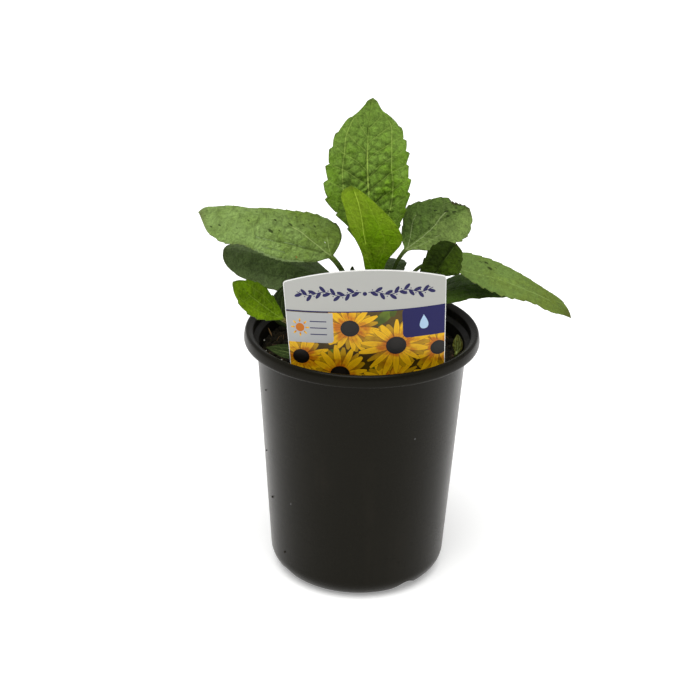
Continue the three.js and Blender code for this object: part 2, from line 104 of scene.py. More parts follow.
class PotSettings(bpy.types.PropertyGroup):
    height: length("Height", "From the table to the top of the rim", POT_HIGH.z / MM)
    rim_radius: length("Rim radius", "Outside of the rim", (POT_HIGH.x - POT_LOW.x) / 2 / MM)
    ledge: length("Ledge", "Height of the wall's top, just under the rim", 122)
    top_radius: length("Top radius", "Outside of the wall just under the rim", 51.3)
    foot_radius: length("Foot radius", "Outside of the wall where the heel starts", 44.25)
    heel_width: length("Heel width", "How far the rounded heel reaches in", 11)
    heel_height: length("Heel height", "Height of the rounded heel", 10.7)
    wall: length("Wall", "Thickness of the wall", 1)
    floor: length("Floor", "Thickness of the floor", 1.2)
    notch_width: length("Notch width", "Width of the drain notches in the heel", 25)
    notch_height: length("Notch height", "Height of the drain notches", 6.5)
    notch_inner: length("Notch inner radius", "How far in the drain notches reach", 31)
    rounding: length("Rounding", "Radius of the moulded edges", 0.3)
    sides: number("Sides", "Faces round the pot", 192, 24, 360)
    colour: colour("Plastic", "the pot's plastic", 19, 18, 12)
    dust: colour("Dust", "the thin film of dust on the plastic", 80, 70, 58)


class SoilSettings(bpy.types.PropertyGroup):
    level: length("Level", "Height of the soil's surface", 117)
    gap: length("Gap", "Between the soil and the pot's wall", 0.3)
    crumb: length("Crumb height", "How high the small crumbs stand", 1.1)
    crumbs: number("Crumbs", "Loose crumbs on the surface", 620, 0, 3000)
    barks: number("Bark pieces", "Pieces of bark on the surface", 70, 0, 500)
    fibres: number("Fibres", "Root and peat fibres on the surface", 90, 0, 500)
    grains: number("White grains", "Grains of perlite on the surface", 14, 0, 200)
    seed: number("Seed", "Start of the random draw", 7, 0, 9999)
    dark: colour("Dark peat", "the soil where it is darkest", 12, 11, 6)
    brown: colour("Brown peat", "the soil where it is lightest", 44, 37, 22)
    bark: colour("Bark", "the bark pieces", 76, 54, 36)
    fibre: colour("Fibre", "the fibres", 128, 98, 62)
    grain: colour("White grain", "the perlite", 214, 210, 202)


class LabelSettings(bpy.types.PropertyGroup):
    centre_x: length("Sideways place", "Place of the label's middle", 0.2)
    front: length("Front", "Place of the bend's front", -41, least=-1.0)
    top: length("Top", "Height of the middle of the top edge", 174.7)
    width_top: length("Top width", "Width at the top corners", 75.8)
    width_foot: length("Foot width", "Width at the panel's lower corners", 73)
    arch: length("Arch", "Rise of the top edge from its corners to its middle", 6.5)
    corner: length("Corner", "Radius of the top corners", 1.0)
    margin: length("Margin", "Width of the unprinted edge", 0.32)
    panel: length("Panel", "From the top edge down to the panel's lower corners", 49.5)
    shoulder: length("Shoulder", "Fall of the lower edge from those corners to the stake", 10)
    whole: length("Whole length", "From the top edge to the stake's point", 135)
    stake: length("Stake half width", "Half of the stake's width", 7)
    point: length("Point", "Length of the stake's tapered point", 22)
    thickness: length("Thickness", "Thickness of the plastic sheet", 0.7)
    bend: length("Bend radius", "Radius of the label's bend", 118)
    tilt: turn_by("Tilt", "Turn of the label", 3.5)
    # The edge is far lighter than the printed white: the unprinted border, with a painted highlight along the
    # sheet's edge.
    edge: colour("Edge", "the unprinted edge", 238, 238, 234)
    sheet: colour("Sheet", "the printed white", 177, 177, 172)
    sheet_panel: colour("White panel", "the white panel", 172, 173, 172)
    ink: colour("Dark ink", "the dark blue print", 26, 22, 78)
    panel_blue: colour("Blue panel", "the blue panel", 12, 8, 80)
    petal: colour("Petal", "the printed petals' tips", 232, 180, 12)
    petal_deep: colour("Petal base", "the printed petals near the disc", 190, 106, 6)
    petal_gap: colour("Petal gap", "the gaps between the petals", 96, 54, 8)
    disc: colour("Disc", "the printed flowers' discs", 22, 18, 14)
    backdrop: colour("Backdrop", "the print behind the flowers", 84, 66, 14)
    sprig: colour("Printed leaf", "the printed leaves", 96, 116, 24)
    symbol: colour("Symbol", "the symbol on the blue panel", 170, 200, 226)


class LeafSettings(bpy.types.PropertyGroup):
    thickness: length("Thickness", "Thickness of a blade away from its veins", 0.42)
    groove: length("Groove", "Depth of the groove over the midrib", 0.28)
    quilting: share("Quilting", "Height of the bulges between the veins, for each leaf's own", 1.0)
    rows: number("Rows", "Rows of faces along a large blade", 190, 20, 400)
    columns: number("Columns", "Faces across each half of a large blade", 34, 4, 80)
    rust: colour("Rust", "the rusty spots", 170, 110, 52)
    under: colour("Underside", "the undersides", 132, 152, 104)
    stalk: colour("Stalk", "the stalks", 54, 72, 20)
    stalk_foot: colour("Stalk foot", "the stalks near the soil", 92, 64, 50)
    crown: colour("Crown", "the crown", 88, 98, 44)


class StageSettings(bpy.types.PropertyGroup):
    camera_place: place_at("Camera", "Place of the camera", (0.0, -0.69893, 0.43099))
    camera_aim: place_at("Aim", "Point in the middle of the picture", (-0.005625, 0.0, 0.1165))
    camera_roll: turn_by("Roll", "Turn of the camera about its view", 1.243)
    lens: FloatProperty(name="Lens", description="Focal length in millimetres", default=80.33, min=10.0)
    floor_radius: length("Floor radius", "Radius of the floor", 9000)
    floor: colour("Floor", "the floor", 252, 252, 251)
    glow: share("Floor glow", "How strongly the floor is lit from below", 0.28)
    top: share("Top light", "Strength of the wide light above", 2.3)
    top_spread: turn_by("Spread", "Width of the light above, as an angle", 50)
    sky: share("Surroundings", "Brightness of the white studio", 0.5)
    front: share("Front", "Brightness of the studio low on the camera's side, as a share", 0.3)


# Meshes and materials

FAR = 9.0
NOISE_TABLE, CELL_TABLE = 128, 64
SHARP_EDGE, ROUNDED_EDGE = math.radians(40), math.radians(28)
WHITE = (1, 1, 1, 1)
MIX_INPUTS, MIX_OUTPUT = (0, 6, 7), 2


# Pot: the rim's section as how far inside the rim's radius and below its top, the heel, how far
# inside the rim the rougher part with painted shade starts, the scuffs as place, size and grey, and its
# finish.

RIM_SECTION = [
    (3.6, 6), (3.4, 2.2), (1.5, 1.8), (1.3, 5.4), (1.15, 5.85), (0.85, 6), (0.5, 5.95), (0.2, 5.6), (0.03, 5),
    (0, 4.2), (0.2, 2.6), (0.45, 1.4), (0.7, 0.8), (1, 0.35), (1.35, 0.12), (1.75, 0.02), (2.15, 0.06),
    (3.9, 1), (4.3, 1.3), (4.55, 1.65), (4.68, 2.3), (4.7, 5.6),
]
HEEL_STEPS, NOTCH_STEPS = 12, 16
NOTCH_ANGLES = (-144, -54, 36, 126)
INNER_LIP = 4.2
POT_MARKS = [(-32.7, -33.2, 48, 0.6, 90), (26.4, -41.6, 89.9, 0.6, 80)]
PLASTIC_GLOSS = 0.09
WARM_GLOSS, DUSTY_SHEEN = (1, 0.95, 0.87, 1), (1, 0.8, 0.66, 1)


# Soil: faces round and in from the edge, the rounded edge, the white grains with a place of their
# own as place and size, the stick, and the specks on the pot's wall as place and size.

SOIL_SIDES, SOIL_ROWS = 300, 90
SOIL_EDGE_FALL, SOIL_EDGE_WIDTH = 1.5, 0.8
PLACED_GRAINS = [(-48.3, 7.3, 0.5), (-38.5, -13.6, 0.6), (-46.5, -4, 0.35)]
STICK_ENDS = [(-47, 18), (-44.6, 10.1)]
STICK_HEIGHT, STICK_FALL, STICK_RADIUS, STICK_SHADE = 119.6, 1.2, 0.4, 2
WALL_SPECKS = [
    (-42.5, -18.5, 43.5, 0.55), (-35.8, -26.6, 16.7, 0.5), (-45.5, -21, 103.7, 0.4),
    (-45.8, -13.6, 67.1, 0.4),
]


# Crown: its place, its section as radius and height, how deep the stalks are set in it, and the
# heights, in metres, between which its brown foot turns green.

CROWN_PLACE = (6, 1)
CROWN_PROFILE = [
    (0, 88), (2.4, 89.5), (5, 99), (7.4, 110), (8.2, 117), (8, 122), (6.6, 128), (4, 132.5), (0, 134.5),
]
CROWN_ROWS, CROWN_SIDES = 70, 96
SOCKET_DEPTH = 2.5
CROWN_TURN = (0.116, 0.126)


# Plant label. Places in the print count from the middle of its top edge. The inks are in the order
# of the label's materials. A flower has a place, a disc's radius, a reach, petals in each row and a
# flattening, a leaf a place, reach, width and heading in degrees, and a row of petals its ink, its
# share of the reach and the gap round them.

INKS = (
    "edge", "sheet", "backdrop", "sprig", "petal_gap", "petal_rear", "petal", "disc", "disc_middle", "ink",
    "panel", "panel_blue", "symbol", "petal_fold",
)
PICTURE_INKS = ("backdrop", "sprig", "petal_gap", "petal_rear", "petal", "petal_fold", "disc", "disc_middle")
SATIN = 0.34
NO_LINE = ((0, 0), (0, 1))
FIRST_BEND, BEND_STEP = 1.3, 2.5
PICTURE_HEIGHTS, DARK_LINE_HEIGHTS = (-62, -20.2), (-20.6, -20)
WHITE_PANEL_RIGHT, WHITE_PANEL_HEIGHTS = -15.2, (-35.8, -20.9)
BLUE_PANEL_LEFT, BLUE_PANEL_HEIGHTS = 16.8, (-34.6, -20)
SHORT_LINES, SHORT_LINE_HEIGHTS = (-26, -18.2), (-31.9, -28.7, -25.5)
SUN, DROP = (-30.8, -28.4), (26.8, -27.4)
GARLAND_HEIGHT, GARLAND_WAVE, GARLAND_TURN = -11.5, 0.9, 0.42
GARLAND_STEM, GARLAND_LEAVES, STEM_HALF = (1.6, 31.5), 13, 0.2
PETAL_ROWS = (("petal_rear", 0.92, 0.3), ("petal", 1, 0.24))
PETAL_FOLDS = (-0.035, 0.035)
PRINTED_BLOOMS = [
    (36, -57, 4, 14, 13, 0.9), (-33, -60, 4, 14, 13, 0.9), (33.5, -41.5, 4, 13, 12, 0.9),
    (-31, -43, 4, 12.5, 12, 0.9), (9.5, -56.5, 4.4, 14.5, 13, 0.9), (-13, -51.5, 4.6, 14.5, 13, 0.9),
    (-7.5, -28.5, 4.4, 14, 13, 0.92), (13.5, -38, 4.8, 15.5, 14, 0.92),
]
PRINTED_LEAVES = [
    (-10, -40, 10, 4.6, 200), (4, -27, 11, 4.8, 40), (4, -46, 10, 4.4, 250),
    (26, -48, 9, 4, 280), (-22, -44, 9, 4.4, 30), (12, -24, 8, 3.6, 80),
    (-24, -54, 9, 4, 200), (22, -52, 9, 4, 250),
]


# Leaves: what all of them share. A blade has more faces where its half width is large.

LARGE_BLADE, SMALL_BLADE = 12, 7
MIDRIB_THICKNESS = 1.6
TIP_HALF_WIDTH = 0.4
STALK_END = 0.08
TOOTH_CLIMB, TOOTH_DROP, TOOTH_SKEW = 0.86, 0.12, 0.2
WAVE_COUNT, WAVE_START = (3.1, 3.7), (0.4, 2.2)
LOBE_START = 0.02
ARC_REACH = 0.1
VEIN_START = (0, 0.45)
VEIN_WIDTHS = (0.26, 0.2, 0.18)
SPOT_TURN, SPOT_STRETCH = (0.94, 0.34), 2.2
SPOT_COVER = (0.85, 0.8, 0.9)
PALE_SPOT = (226, 228, 214)
STALK_TURN = (-14, -34)
CRINKLED_QUILT = 1.2
# The mottling noise, and how far its copy is shifted for the painted emboss of light and shade.
PATCH_NOISE, PATCH_SHIFT = (0.42, 3, 0.6, 0.6), (0.55, 0.35, 0)
LEAF_APART = 40.0
# The direction of the raking light whose light and shade are painted on the blades' bulges.
RAKING = np.array([-0.45, -0.3, 0.84])

# Each leaf. Pairs are for its left and right half, and places on a blade are shares of its length
# and of its half width. stalk is the stalk's radius, root its place on the crown as degrees and
# height, lean how far it leaves sideways, and planted a foot in the soil instead. base, middle and
# tip are on the midrib, and face is the way the upper side looks, with face_tip at the tip.
# half_width is the widest one. left_edge and right_edge have places along with the half widths
# there; without them, widest, base_full and tip_full say where the blade is widest and how full its
# ends are, and base_share how wide it starts. fold is how many degrees its halves rise, with
# fold_tip at the tip, curl how far the margins rise as a share of the width, lobe how far the base
# reaches back and waves the height of the margin's waves. teeth is their number, tooth_depth their
# share of the width and tooth_shift where they start. torn is where the left margin is torn from
# and how deep. quilt is the height of the bulges, cell their size and cobbled how much they follow
# cells instead of veins. veins is the number of fine side veins, forward how far they run ahead and
# arc the place across of the strong lower ones.
#
# colour and other are the two greens, and tone is their mixing at the base and its change along and
# across. vein, edge and stalk_top colour the veins, the browned margin and the stalk's top. pale is
# how much the midrib, the strong side veins and the fine ones show, crumple how crumpled the skin is:
# its mottling, its bump, the painted shade in its pits and the painted light and shade of its emboss,
# and gloss its shine. quilt also sets how strongly the bulges' lit sides are painted. shades are
# patches of painted light and shade with a place, a size and how much lighter they are, lines a half
# width and points, the dark ones creases with painted shade along them, and spots a place and size,
# the dark ones dark flecks and painted shade in small pits.

USUAL_LEAF = dict(
    root=None, planted=None, lean=0, curl=(0, 0), lobe=(0, 0), left_edge=None, right_edge=None,
    base_share=(0, 0), widest=(0.5, 0.5), base_full=(0.8, 0.8), tip_full=(0.8, 0.8),
    teeth=0, tooth_shift=(0, 0), torn=None, cobbled=0.3, forward=0.2, arc=0.5, waves=0.1,
    tone=(0.5, 0, 0), vein=(150, 172, 100), edge=(70, 74, 34), stalk_top=None, crumple=0, gloss=0.1,
    shades=(), pale_lines=(), dark_lines=(), dark_spots=(), rust_spots=(), white_spots=(),
)


def grown(name, **own):
    """A leaf with its own values, and the usual ones for the rest."""
    tip = {"face_tip": own["face"], "fold_tip": own["fold"]}
    return SimpleNamespace(name=name, **{**USUAL_LEAF, **tip, **own})


TALL_BACK = grown(
    "tall_back", stalk=1.4, root=(90, 128.5), lean=0.2,
    base=(7.5, 9, 160), middle=(0.9, 16, 201), tip=(2.5, 31, 235),
    face=(0, -1, 0.25), face_tip=(0, -1, 0.55), half_width=(22.1, 21.1), fold=(10, 10),
    curl=(-0.12, -0.12),
    left_edge=[
        (0, 0), (0.05, 4), (0.1, 7), (0.16, 10), (0.23, 13.2), (0.3, 17), (0.36, 20.2), (0.42, 22.1),
        (0.5, 21.6), (0.58, 20.5), (0.66, 18.9), (0.74, 16.8), (0.8, 13.6), (0.86, 9.8), (0.9, 6.2),
        (0.94, 3.7), (0.98, 2), (1, 0),
    ],
    right_edge=[
        (0, 0), (0.05, 5), (0.1, 9), (0.16, 13), (0.23, 16.6), (0.3, 19), (0.37, 20.5), (0.43, 21.1),
        (0.52, 20.2), (0.66, 20.2), (0.72, 18.6), (0.79, 16.6), (0.84, 14), (0.87, 11.2), (0.9, 8),
        (0.93, 5.2), (0.96, 3.4), (0.98, 2.3), (1, 0),
    ],
    teeth=11, tooth_depth=0.08, tooth_shift=(0.5, 0),
    quilt=1.5, cell=5, cobbled=0.6, veins=10, forward=0.17, arc=0.57, waves=0.25,
    colour=(107, 138, 52), other=(91, 128, 10), tone=(1.1, -1.5, 0), pale=(0.9, 0.5, 0.32),
    vein=(170, 196, 92), crumple=0.5,
    shades=[
        (0.48, -0.4, 3.2, -0.35), (0.33, 0.3, 3.5, -0.15), (0.4, 0.3, 2.5, 0.12), (0.7, 0.9, 6, 0.2),
        (0.45, 0.27, 4, 0.15), (0.45, 0.95, 5, 0.45), (0.5, -0.95, 6, 0.3), (0.56, -0.35, 7, -0.1),
        (0.55, 0.2, 6, -0.06), (0.82, -0.4, 5, -0.1),
    ],
)
YOUNG = grown(
    "young", stalk=1.6, root=(-90, 128.5), lean=0.2,
    base=(6.5, -3, 156), middle=(0.7, -3, 178), tip=(-7, 6, 199),
    face=(0, -1, 0.1), face_tip=(0, -1, 0.5), half_width=(7.9, 16.4), fold=(12, 12), base_share=(0.5, 0.2),
    left_edge=[
        (0, 3.95), (0.16, 4.6), (0.28, 4.3), (0.38, 4.6), (0.48, 5.6), (0.57, 6.5), (0.68, 6.8),
        (0.78, 6.4), (0.86, 6.4), (0.93, 6.1), (0.97, 4.6), (0.99, 2.6), (1, 0),
    ],
    right_edge=[
        (0, 3.3), (0.1, 4.6), (0.16, 6), (0.22, 8.8), (0.27, 12), (0.32, 15), (0.38, 16.6), (0.46, 16.2),
        (0.54, 14.9), (0.62, 12.9), (0.7, 10.6), (0.79, 8), (0.88, 5.2), (0.96, 2), (1, 0),
    ],
    quilt=0.12, cell=5, veins=5, forward=0.34, waves=0.2,
    colour=(116, 144, 30), other=(94, 135, 0), tone=(1.1, -1.4, 0.1), pale=(0, 0.15, 0.1),
    vein=(172, 200, 70), crumple=0.2, gloss=0.05,
    shades=[(0.5, 0.6, 8, 0.1), (0.25, 0.3, 6, -0.04), (0.08, 0, 8, -0.15)],
    pale_lines=[
        (0.16, (0.93, 0.25), (0.82, 0.13), (0.72, 0.05), (0.62, -0.01), (0.52, -0.15), (0.4, -0.28)),
    ],
)
LEFT_UPPER = grown(
    "left_upper", stalk=1.4, root=(178, 126), lean=0.5,
    base=(-15.5, 0, 165), middle=(-45, 3, 182.6), tip=(-79, 2, 185.6),
    face=(0, -0.55, 0.83), face_tip=(0, -0.12, 1), half_width=(21.8, 17.6), fold=(-14, -4),
    fold_tip=(-32, -8), lobe=(0, 1),
    left_edge=[
        (0, 0), (0.05, 6.2), (0.1, 9.5), (0.2, 14.2), (0.3, 17.5), (0.4, 19.2), (0.5, 18.6), (0.6, 18),
        (0.7, 18), (0.8, 18.2), (0.9, 15), (0.96, 10), (1, 0),
    ],
    right_edge=[
        (0, 0), (0.03, 11), (0.06, 15), (0.1, 17.4), (0.15, 17.6), (0.2, 16.8), (0.3, 14.3), (0.4, 11.6),
        (0.5, 8.2), (0.6, 6.4), (0.7, 5.6), (0.8, 5.4), (0.9, 5.6), (0.96, 4.9), (1, 0),
    ],
    teeth=17, tooth_depth=0.05,
    quilt=0.45, cell=5, cobbled=0.5, veins=8, forward=0.16, waves=0.5,
    colour=(129, 155, 84), other=(106, 131, 50), tone=(0.9, -1.2, 0.3), pale=(0, 0.08, 0.05),
    vein=(158, 178, 104), edge=(84, 66, 50), crumple=0.55,
    shades=[
        (0.35, -0.75, 6, 0.16), (0.2, -0.6, 4, 0.1), (0.55, -0.8, 5, 0.1), (0.18, 0.75, 8, -0.16),
        (0.45, 0.1, 7, -0.03), (0.75, 0.3, 9, 0.02), (0.06, 0, 4, -0.12),
    ],
    pale_lines=[
        (0.24, (0, 0), (0.05, -0.06), (0.18, -0.01), (0.25, 0.04), (0.33, 0.06)),
        (0.16, (0.01, 0.05), (0.05, 0.2), (0.1, 0.4)),
        (0.12, (0.6, -0.72), (0.45, -0.66), (0.3, -0.56), (0.2, -0.5)),
    ],
    dark_lines=[
        (0.34, (0.57, -0.62), (0.42, -0.53), (0.3, -0.43), (0.18, -0.37), (0.07, -0.23)),
        (0.3, (0.05, -0.97), (0.15, -0.98), (0.25, -0.98), (0.35, -0.98), (0.45, -0.98), (0.55, -0.98)),
        (0.2, (0.5, -0.82), (0.42, -0.76), (0.3, -0.72)),
        (0.25, (0.03, 0.97), (0.07, 0.985), (0.12, 0.985), (0.2, 0.98)),
    ],
    dark_spots=[
        (0.86, -0.48, 1.6), (0.65, -0.23, 1.5), (0.6, 0.39, 1.2), (0.47, -0.32, 3), (0.46, 0.03, 1.5),
        (0.35, 0.12, 2.6), (0.33, 0.62, 1.2), (0.27, 0.36, 1.4), (0.2, 0.5, 1.6), (0.17, 0.3, 1),
        (0.73, -0.51, 1.2), (0.92, -0.64, 1.4), (0.41, -0.22, 1),
    ],
    rust_spots=[(0.2, -0.79, 1.3)],
    white_spots=[(0.09, 0.22, 0.7)],
)
LEFT_LOWER = grown(
    "left_lower", stalk=1.4, root=(165, 121.5), lean=0.8,
    base=(-12, 7, 146.5), middle=(-40, 10, 158), tip=(-68.5, 13, 162.5),
    face=(0, -0.2, 1), half_width=(15.2, 16.5), fold=(-35, -5),
    widest=(0.6, 0.5), base_full=(0.6, 0.5), tip_full=(0.38, 0.45), teeth=8, tooth_depth=0.04,
    quilt=0.3, cell=4.4, veins=8, forward=0.16, waves=0.3,
    colour=(100, 118, 72), other=(92, 110, 62), tone=(0.6, -0.6, 0), pale=(0, 0.1, 0.12),
    vein=(112, 132, 84), crumple=0.6,
    shades=[(0.74, 0.32, 4, 0.2), (0.84, -0.42, 4, 0.2), (0.5, -0.25, 8, 0.5), (0.95, 0.2, 8, -0.15)],
    pale_lines=[(0.24, (0.1, -0.3), (0.33, -0.16), (0.47, 0.01), (0.6, 0.27), (0.68, 0.5))],
)
LEFT_SMALL = grown(
    "left_small", stalk=1, root=(222, 120.5), lean=1,
    base=(-37, -24, 142), middle=(-48.5, -27, 152), tip=(-59.8, -30, 163),
    face=(0, -0.55, 0.8), half_width=(10, 8.5), fold=(8, 8),
    widest=(0.62, 0.5), base_full=(1.15, 0.75), tip_full=(0.55, 0.75), teeth=6, tooth_depth=0.1,
    quilt=0.16, cell=3.2, cobbled=0.5, veins=5,
    colour=(108, 139, 10), other=(68, 98, 1), tone=(0.45, 0.1, 0.3), pale=(0.5, 0.25, 0.2),
    vein=(134, 160, 58), stalk_top=(128, 92, 84), crumple=0.4, gloss=0.06,
    shades=[
        (0.56, 0.47, 3.5, -0.35), (0.5, -0.75, 3, 0.1), (0.2, -0.8, 3, -0.05), (0.8, 0.3, 3, 0.2),
        (0.45, 0.1, 4, -0.1), (0.8, -0.3, 3, -0.15), (0.3, 0.5, 3, -0.15), (0.35, -0.4, 5, -0.08),
    ],
)
# Its greens are very dark: painted shade, for the leaf stands in the shade behind the label.
LEFT_SHADED = grown(
    "left_shaded", stalk=1, root=(196, 119.5), lean=1.2,
    base=(-35, -8, 131), middle=(-39, -8, 142), tip=(-35.5, -4, 152.5),
    face=(0.1, -1, 0.2), half_width=(5.5, 5.5), fold=(8, 8),
    widest=(0.45, 0.45),
    quilt=0.1, cell=2.6, veins=5,
    colour=(36, 47, 17), other=(27, 38, 11), pale=(0.1, 0.05, 0),
)
# Its left half turns to the darker other green: painted shade on the half that tilts from the light.
RIGHT_UPPER = grown(
    "right_upper", stalk=1.05, root=(40, 126), lean=0.4,
    base=(19.5, 10, 165), middle=(34, 17, 176.5), tip=(51, 24, 183),
    face=(-0.2, -0.6, 0.8), face_tip=(-0.1, -0.6, 0.8), half_width=(14.2, 16.3), fold=(12, -4),
    left_edge=[
        (0, 0), (0.04, 1.5), (0.07, 3.7), (0.13, 6.9), (0.22, 10.4), (0.29, 13.2), (0.36, 15.2),
        (0.42, 15.9), (0.54, 15), (0.64, 12.9), (0.74, 11.3), (0.79, 10.6), (0.83, 9.4), (0.88, 7.2),
        (0.92, 5), (0.96, 2.6), (1, 0),
    ],
    right_edge=[
        (0, 0), (0.06, 2.2), (0.12, 5), (0.19, 8.8), (0.26, 10.8), (0.34, 12.3), (0.47, 14.2), (0.6, 15.2),
        (0.7, 14.9), (0.8, 13.6), (0.9, 9.5), (0.97, 5.2), (1, 0),
    ],
    teeth=9, tooth_depth=0.05, torn=(0.836, 3.6),
    quilt=0.5, cell=4.4, cobbled=0.5, veins=7, arc=0.48, waves=0.4,
    colour=(115, 138, 68), other=(84, 109, 44), tone=(0.5, 0, -1.6), pale=(0, 0.06, 0.1),
    vein=(146, 162, 106), edge=(72, 56, 42), crumple=0.6,
    shades=[
        (0.72, -0.3, 5, -0.28), (0.55, -0.6, 5, -0.12), (0.8, 0.45, 5, 0.15), (0.4, 0.65, 6, -0.12),
        (0.62, 0.2, 4, -0.15), (0.3, -0.5, 6, -0.08),
    ],
    pale_lines=[
        (0.22, (0.02, 0.1), (0.1, 0.14), (0.27, 0.13), (0.4, 0.08), (0.52, 0), (0.64, -0.15), (0.72, -0.24)),
        (0.16, (0.02, 0), (0.07, -0.04), (0.17, -0.3), (0.32, -0.54), (0.41, -0.6)),
        (0.12, (0.03, 0.5), (0.17, 0.5), (0.35, 0.45), (0.48, 0.42)),
    ],
    dark_spots=[
        (0.6, -0.7, 1), (0.62, -0.45, 1.8), (0.72, -0.25, 2), (0.7, -0.05, 1.5), (0.55, 0.02, 0.9),
        (0.62, 0.15, 1), (0.8, -0.1, 1.9), (0.76, 0.2, 0.9), (0.45, -0.1, 0.8), (0.85, -0.3, 1.2),
        (0.86, -0.9, 2.6), (0.9, -0.9, 3), (0.94, -0.85, 2.4), (0.77, -1, 1.2),
    ],
)
# Its greens are dark and its left half darker still: painted shade on a leaf that faces sideways, away from
# the light.
RIGHT_CURLED = grown(
    "right_curled", stalk=1.3, root=(-45, 124), lean=0.5,
    base=(26.5, -14, 156), middle=(35.4, -16, 168.8), tip=(43.2, -15, 178.7),
    face=(0, -0.9, 0.5), face_tip=(0.1, -0.8, 0.6), half_width=(9.2, 8.4), fold=(-5, -5),
    curl=(-0.15, -0.3),
    left_edge=[
        (0, 0), (0.1, 3), (0.2, 5.2), (0.34, 6.9), (0.46, 8), (0.59, 8.8), (0.7, 8.4), (0.78, 7.5),
        (0.91, 5.2), (1, 0),
    ],
    right_edge=[
        (0, 0), (0.15, 2), (0.29, 4), (0.39, 6.6), (0.48, 9.2), (0.55, 9.9), (0.64, 9.2), (0.72, 8),
        (0.82, 6.8), (0.9, 5.2), (0.96, 3.4), (1, 0),
    ],
    teeth=7, tooth_depth=0.08,
    quilt=0.4, cell=3.8, cobbled=0.5, veins=6, waves=0.3,
    colour=(55, 75, 8), other=(36, 52, 2), tone=(0.5, 0, -1.2), pale=(0.12, 0.05, 0.1),
    vein=(76, 96, 40), edge=(60, 40, 34), crumple=0.5, gloss=0.08,
    shades=[(0.5, -0.5, 4, -0.15), (0.6, 0.6, 4, 0.25), (0.35, 0.3, 4, 0.15)],
    pale_lines=[(0.1, (0.2, 0.1), (0.45, 0.1), (0.7, 0.05), (0.9, 0))],
    dark_lines=[(0.3, (0.9, -0.2), (0.6, 0), (0.3, 0.3))],
)
RIGHT_LONG = grown(
    "right_long", stalk=1.4, root=(0, 124), lean=0.6,
    base=(32, 5, 161), middle=(65.5, -4, 160.3), tip=(99.3, -14, 142.8),
    face=(0, -0.1, 1), face_tip=(0.3, -0.1, 1), half_width=(9.3, 15.8), fold=(16, -15), fold_tip=(8, -15),
    left_edge=[
        (0, 0), (0.05, 5), (0.1, 7.2), (0.19, 9.1), (0.25, 9.4), (0.32, 8.4), (0.41, 7.8), (0.54, 7.4),
        (0.61, 6.4), (0.68, 5.6), (0.75, 5.3), (0.82, 5.8), (0.89, 6.3), (0.94, 5), (0.98, 2), (1, 0),
    ],
    right_edge=[
        (0, 0), (0.05, 2.5), (0.1, 4), (0.17, 5.8), (0.23, 7.8), (0.29, 10.4), (0.37, 12.8), (0.47, 15.2),
        (0.56, 15.2), (0.63, 13.4), (0.69, 11.4), (0.75, 9.6), (0.79, 8.8), (0.86, 7.6), (0.9, 6),
        (0.95, 3), (1, 0),
    ],
    teeth=14, tooth_depth=0.09,
    quilt=0.3, cell=3.6, cobbled=0.6, veins=9, forward=0.12, waves=0.3,
    colour=(107, 132, 62), other=(104, 122, 46), tone=(-0.6, 1.5, 0), pale=(0.1, 0.06, 0.06),
    vein=(150, 174, 98), edge=(92, 80, 40), crumple=0.25,
    shades=[(0.3, -0.5, 6, -0.08), (0.55, 0.3, 8, 0.14), (0.4, 0.8, 5, -0.06), (0.97, 0, 4, -0.3)],
    pale_lines=[(0.12, (0.2, 0.6), (0.3, 0.54), (0.51, 0.31), (0.72, 0.27), (0.86, 0.03))],
    dark_spots=[(0.39, -0.5, 2.2), (0.42, -0.12, 2.6), (0.35, -0.44, 1.8), (0.46, -0.3, 1.2)],
)
# Its greens are darker than the upper leaves' and darker still near the base: painted shade under right_long.
RIGHT_LOWER = grown(
    "right_lower", stalk=1.3, root=(22, 120), lean=0.8,
    base=(28, 6, 139), middle=(50, 4, 150), tip=(70, 2, 146.5),
    face=(0, -0.1, 1), half_width=(17, 11), fold=(-5, -10),
    widest=(0.45, 0.35), base_full=(0.55, 0.6), tip_full=(0.7, 0.6), teeth=6, tooth_depth=0.03,
    quilt=0.25, cell=4, veins=6, forward=0.18, waves=0.3,
    colour=(66, 92, 20), other=(50, 73, 15), pale=(0.05, 0, 0),
    gloss=0.08,
    shades=[(0.2, -0.4, 9, -0.2), (0.1, 0.3, 6, -0.15)],
)
SOIL_LEFT = grown(
    "soil_left", stalk=0.9, root=(250, 120.5), lean=1,
    base=(-26, -22, 123.5), middle=(-35.5, -24, 125.5), tip=(-45, -24, 127.8),
    face=(0, -0.5, 0.8), half_width=(4, 4.2), fold=(6, 6),
    widest=(0.45, 0.45), tip_full=(1, 1),
    quilt=0.08, cell=2.4, veins=5,
    colour=(52, 68, 28), other=(38, 52, 17), tone=(0.6, -0.4, 0), pale=(0.35, 0.15, 0.1),
)
BACK = grown(
    "back", stalk=1.2, root=(88, 122.5), lean=0.8,
    base=(9, 15, 142), middle=(11, 28, 152), tip=(12.5, 43, 148),
    face=(0, 0, 1), face_tip=(0, 0.4, 1), half_width=(10, 10.5), fold=(-6, -6),
    base_full=(0.7, 0.7), tip_full=(0.7, 0.7), teeth=5, tooth_depth=0.04,
    quilt=0.3, cell=3.6, veins=6, waves=0.3,
    colour=(84, 100, 62), other=(70, 86, 50), pale=(0.3, 0.15, 0.08),
    crumple=0.3,
)
BUD = grown(
    "bud", stalk=0.9, root=(150, 128.5), lean=0.4,
    base=(-2, 10, 143), middle=(-5, 13, 149), tip=(-5.2, 15, 154.6),
    face=(0.3, -1, 0.3), half_width=(3, 3), fold=(20, 20),
    widest=(0.4, 0.4), tip_full=(0.9, 0.9),
    quilt=0.04, cell=1.6, veins=4, waves=0,
    colour=(52, 62, 30), other=(36, 44, 20), pale=(0.3, 0.1, 0),
)
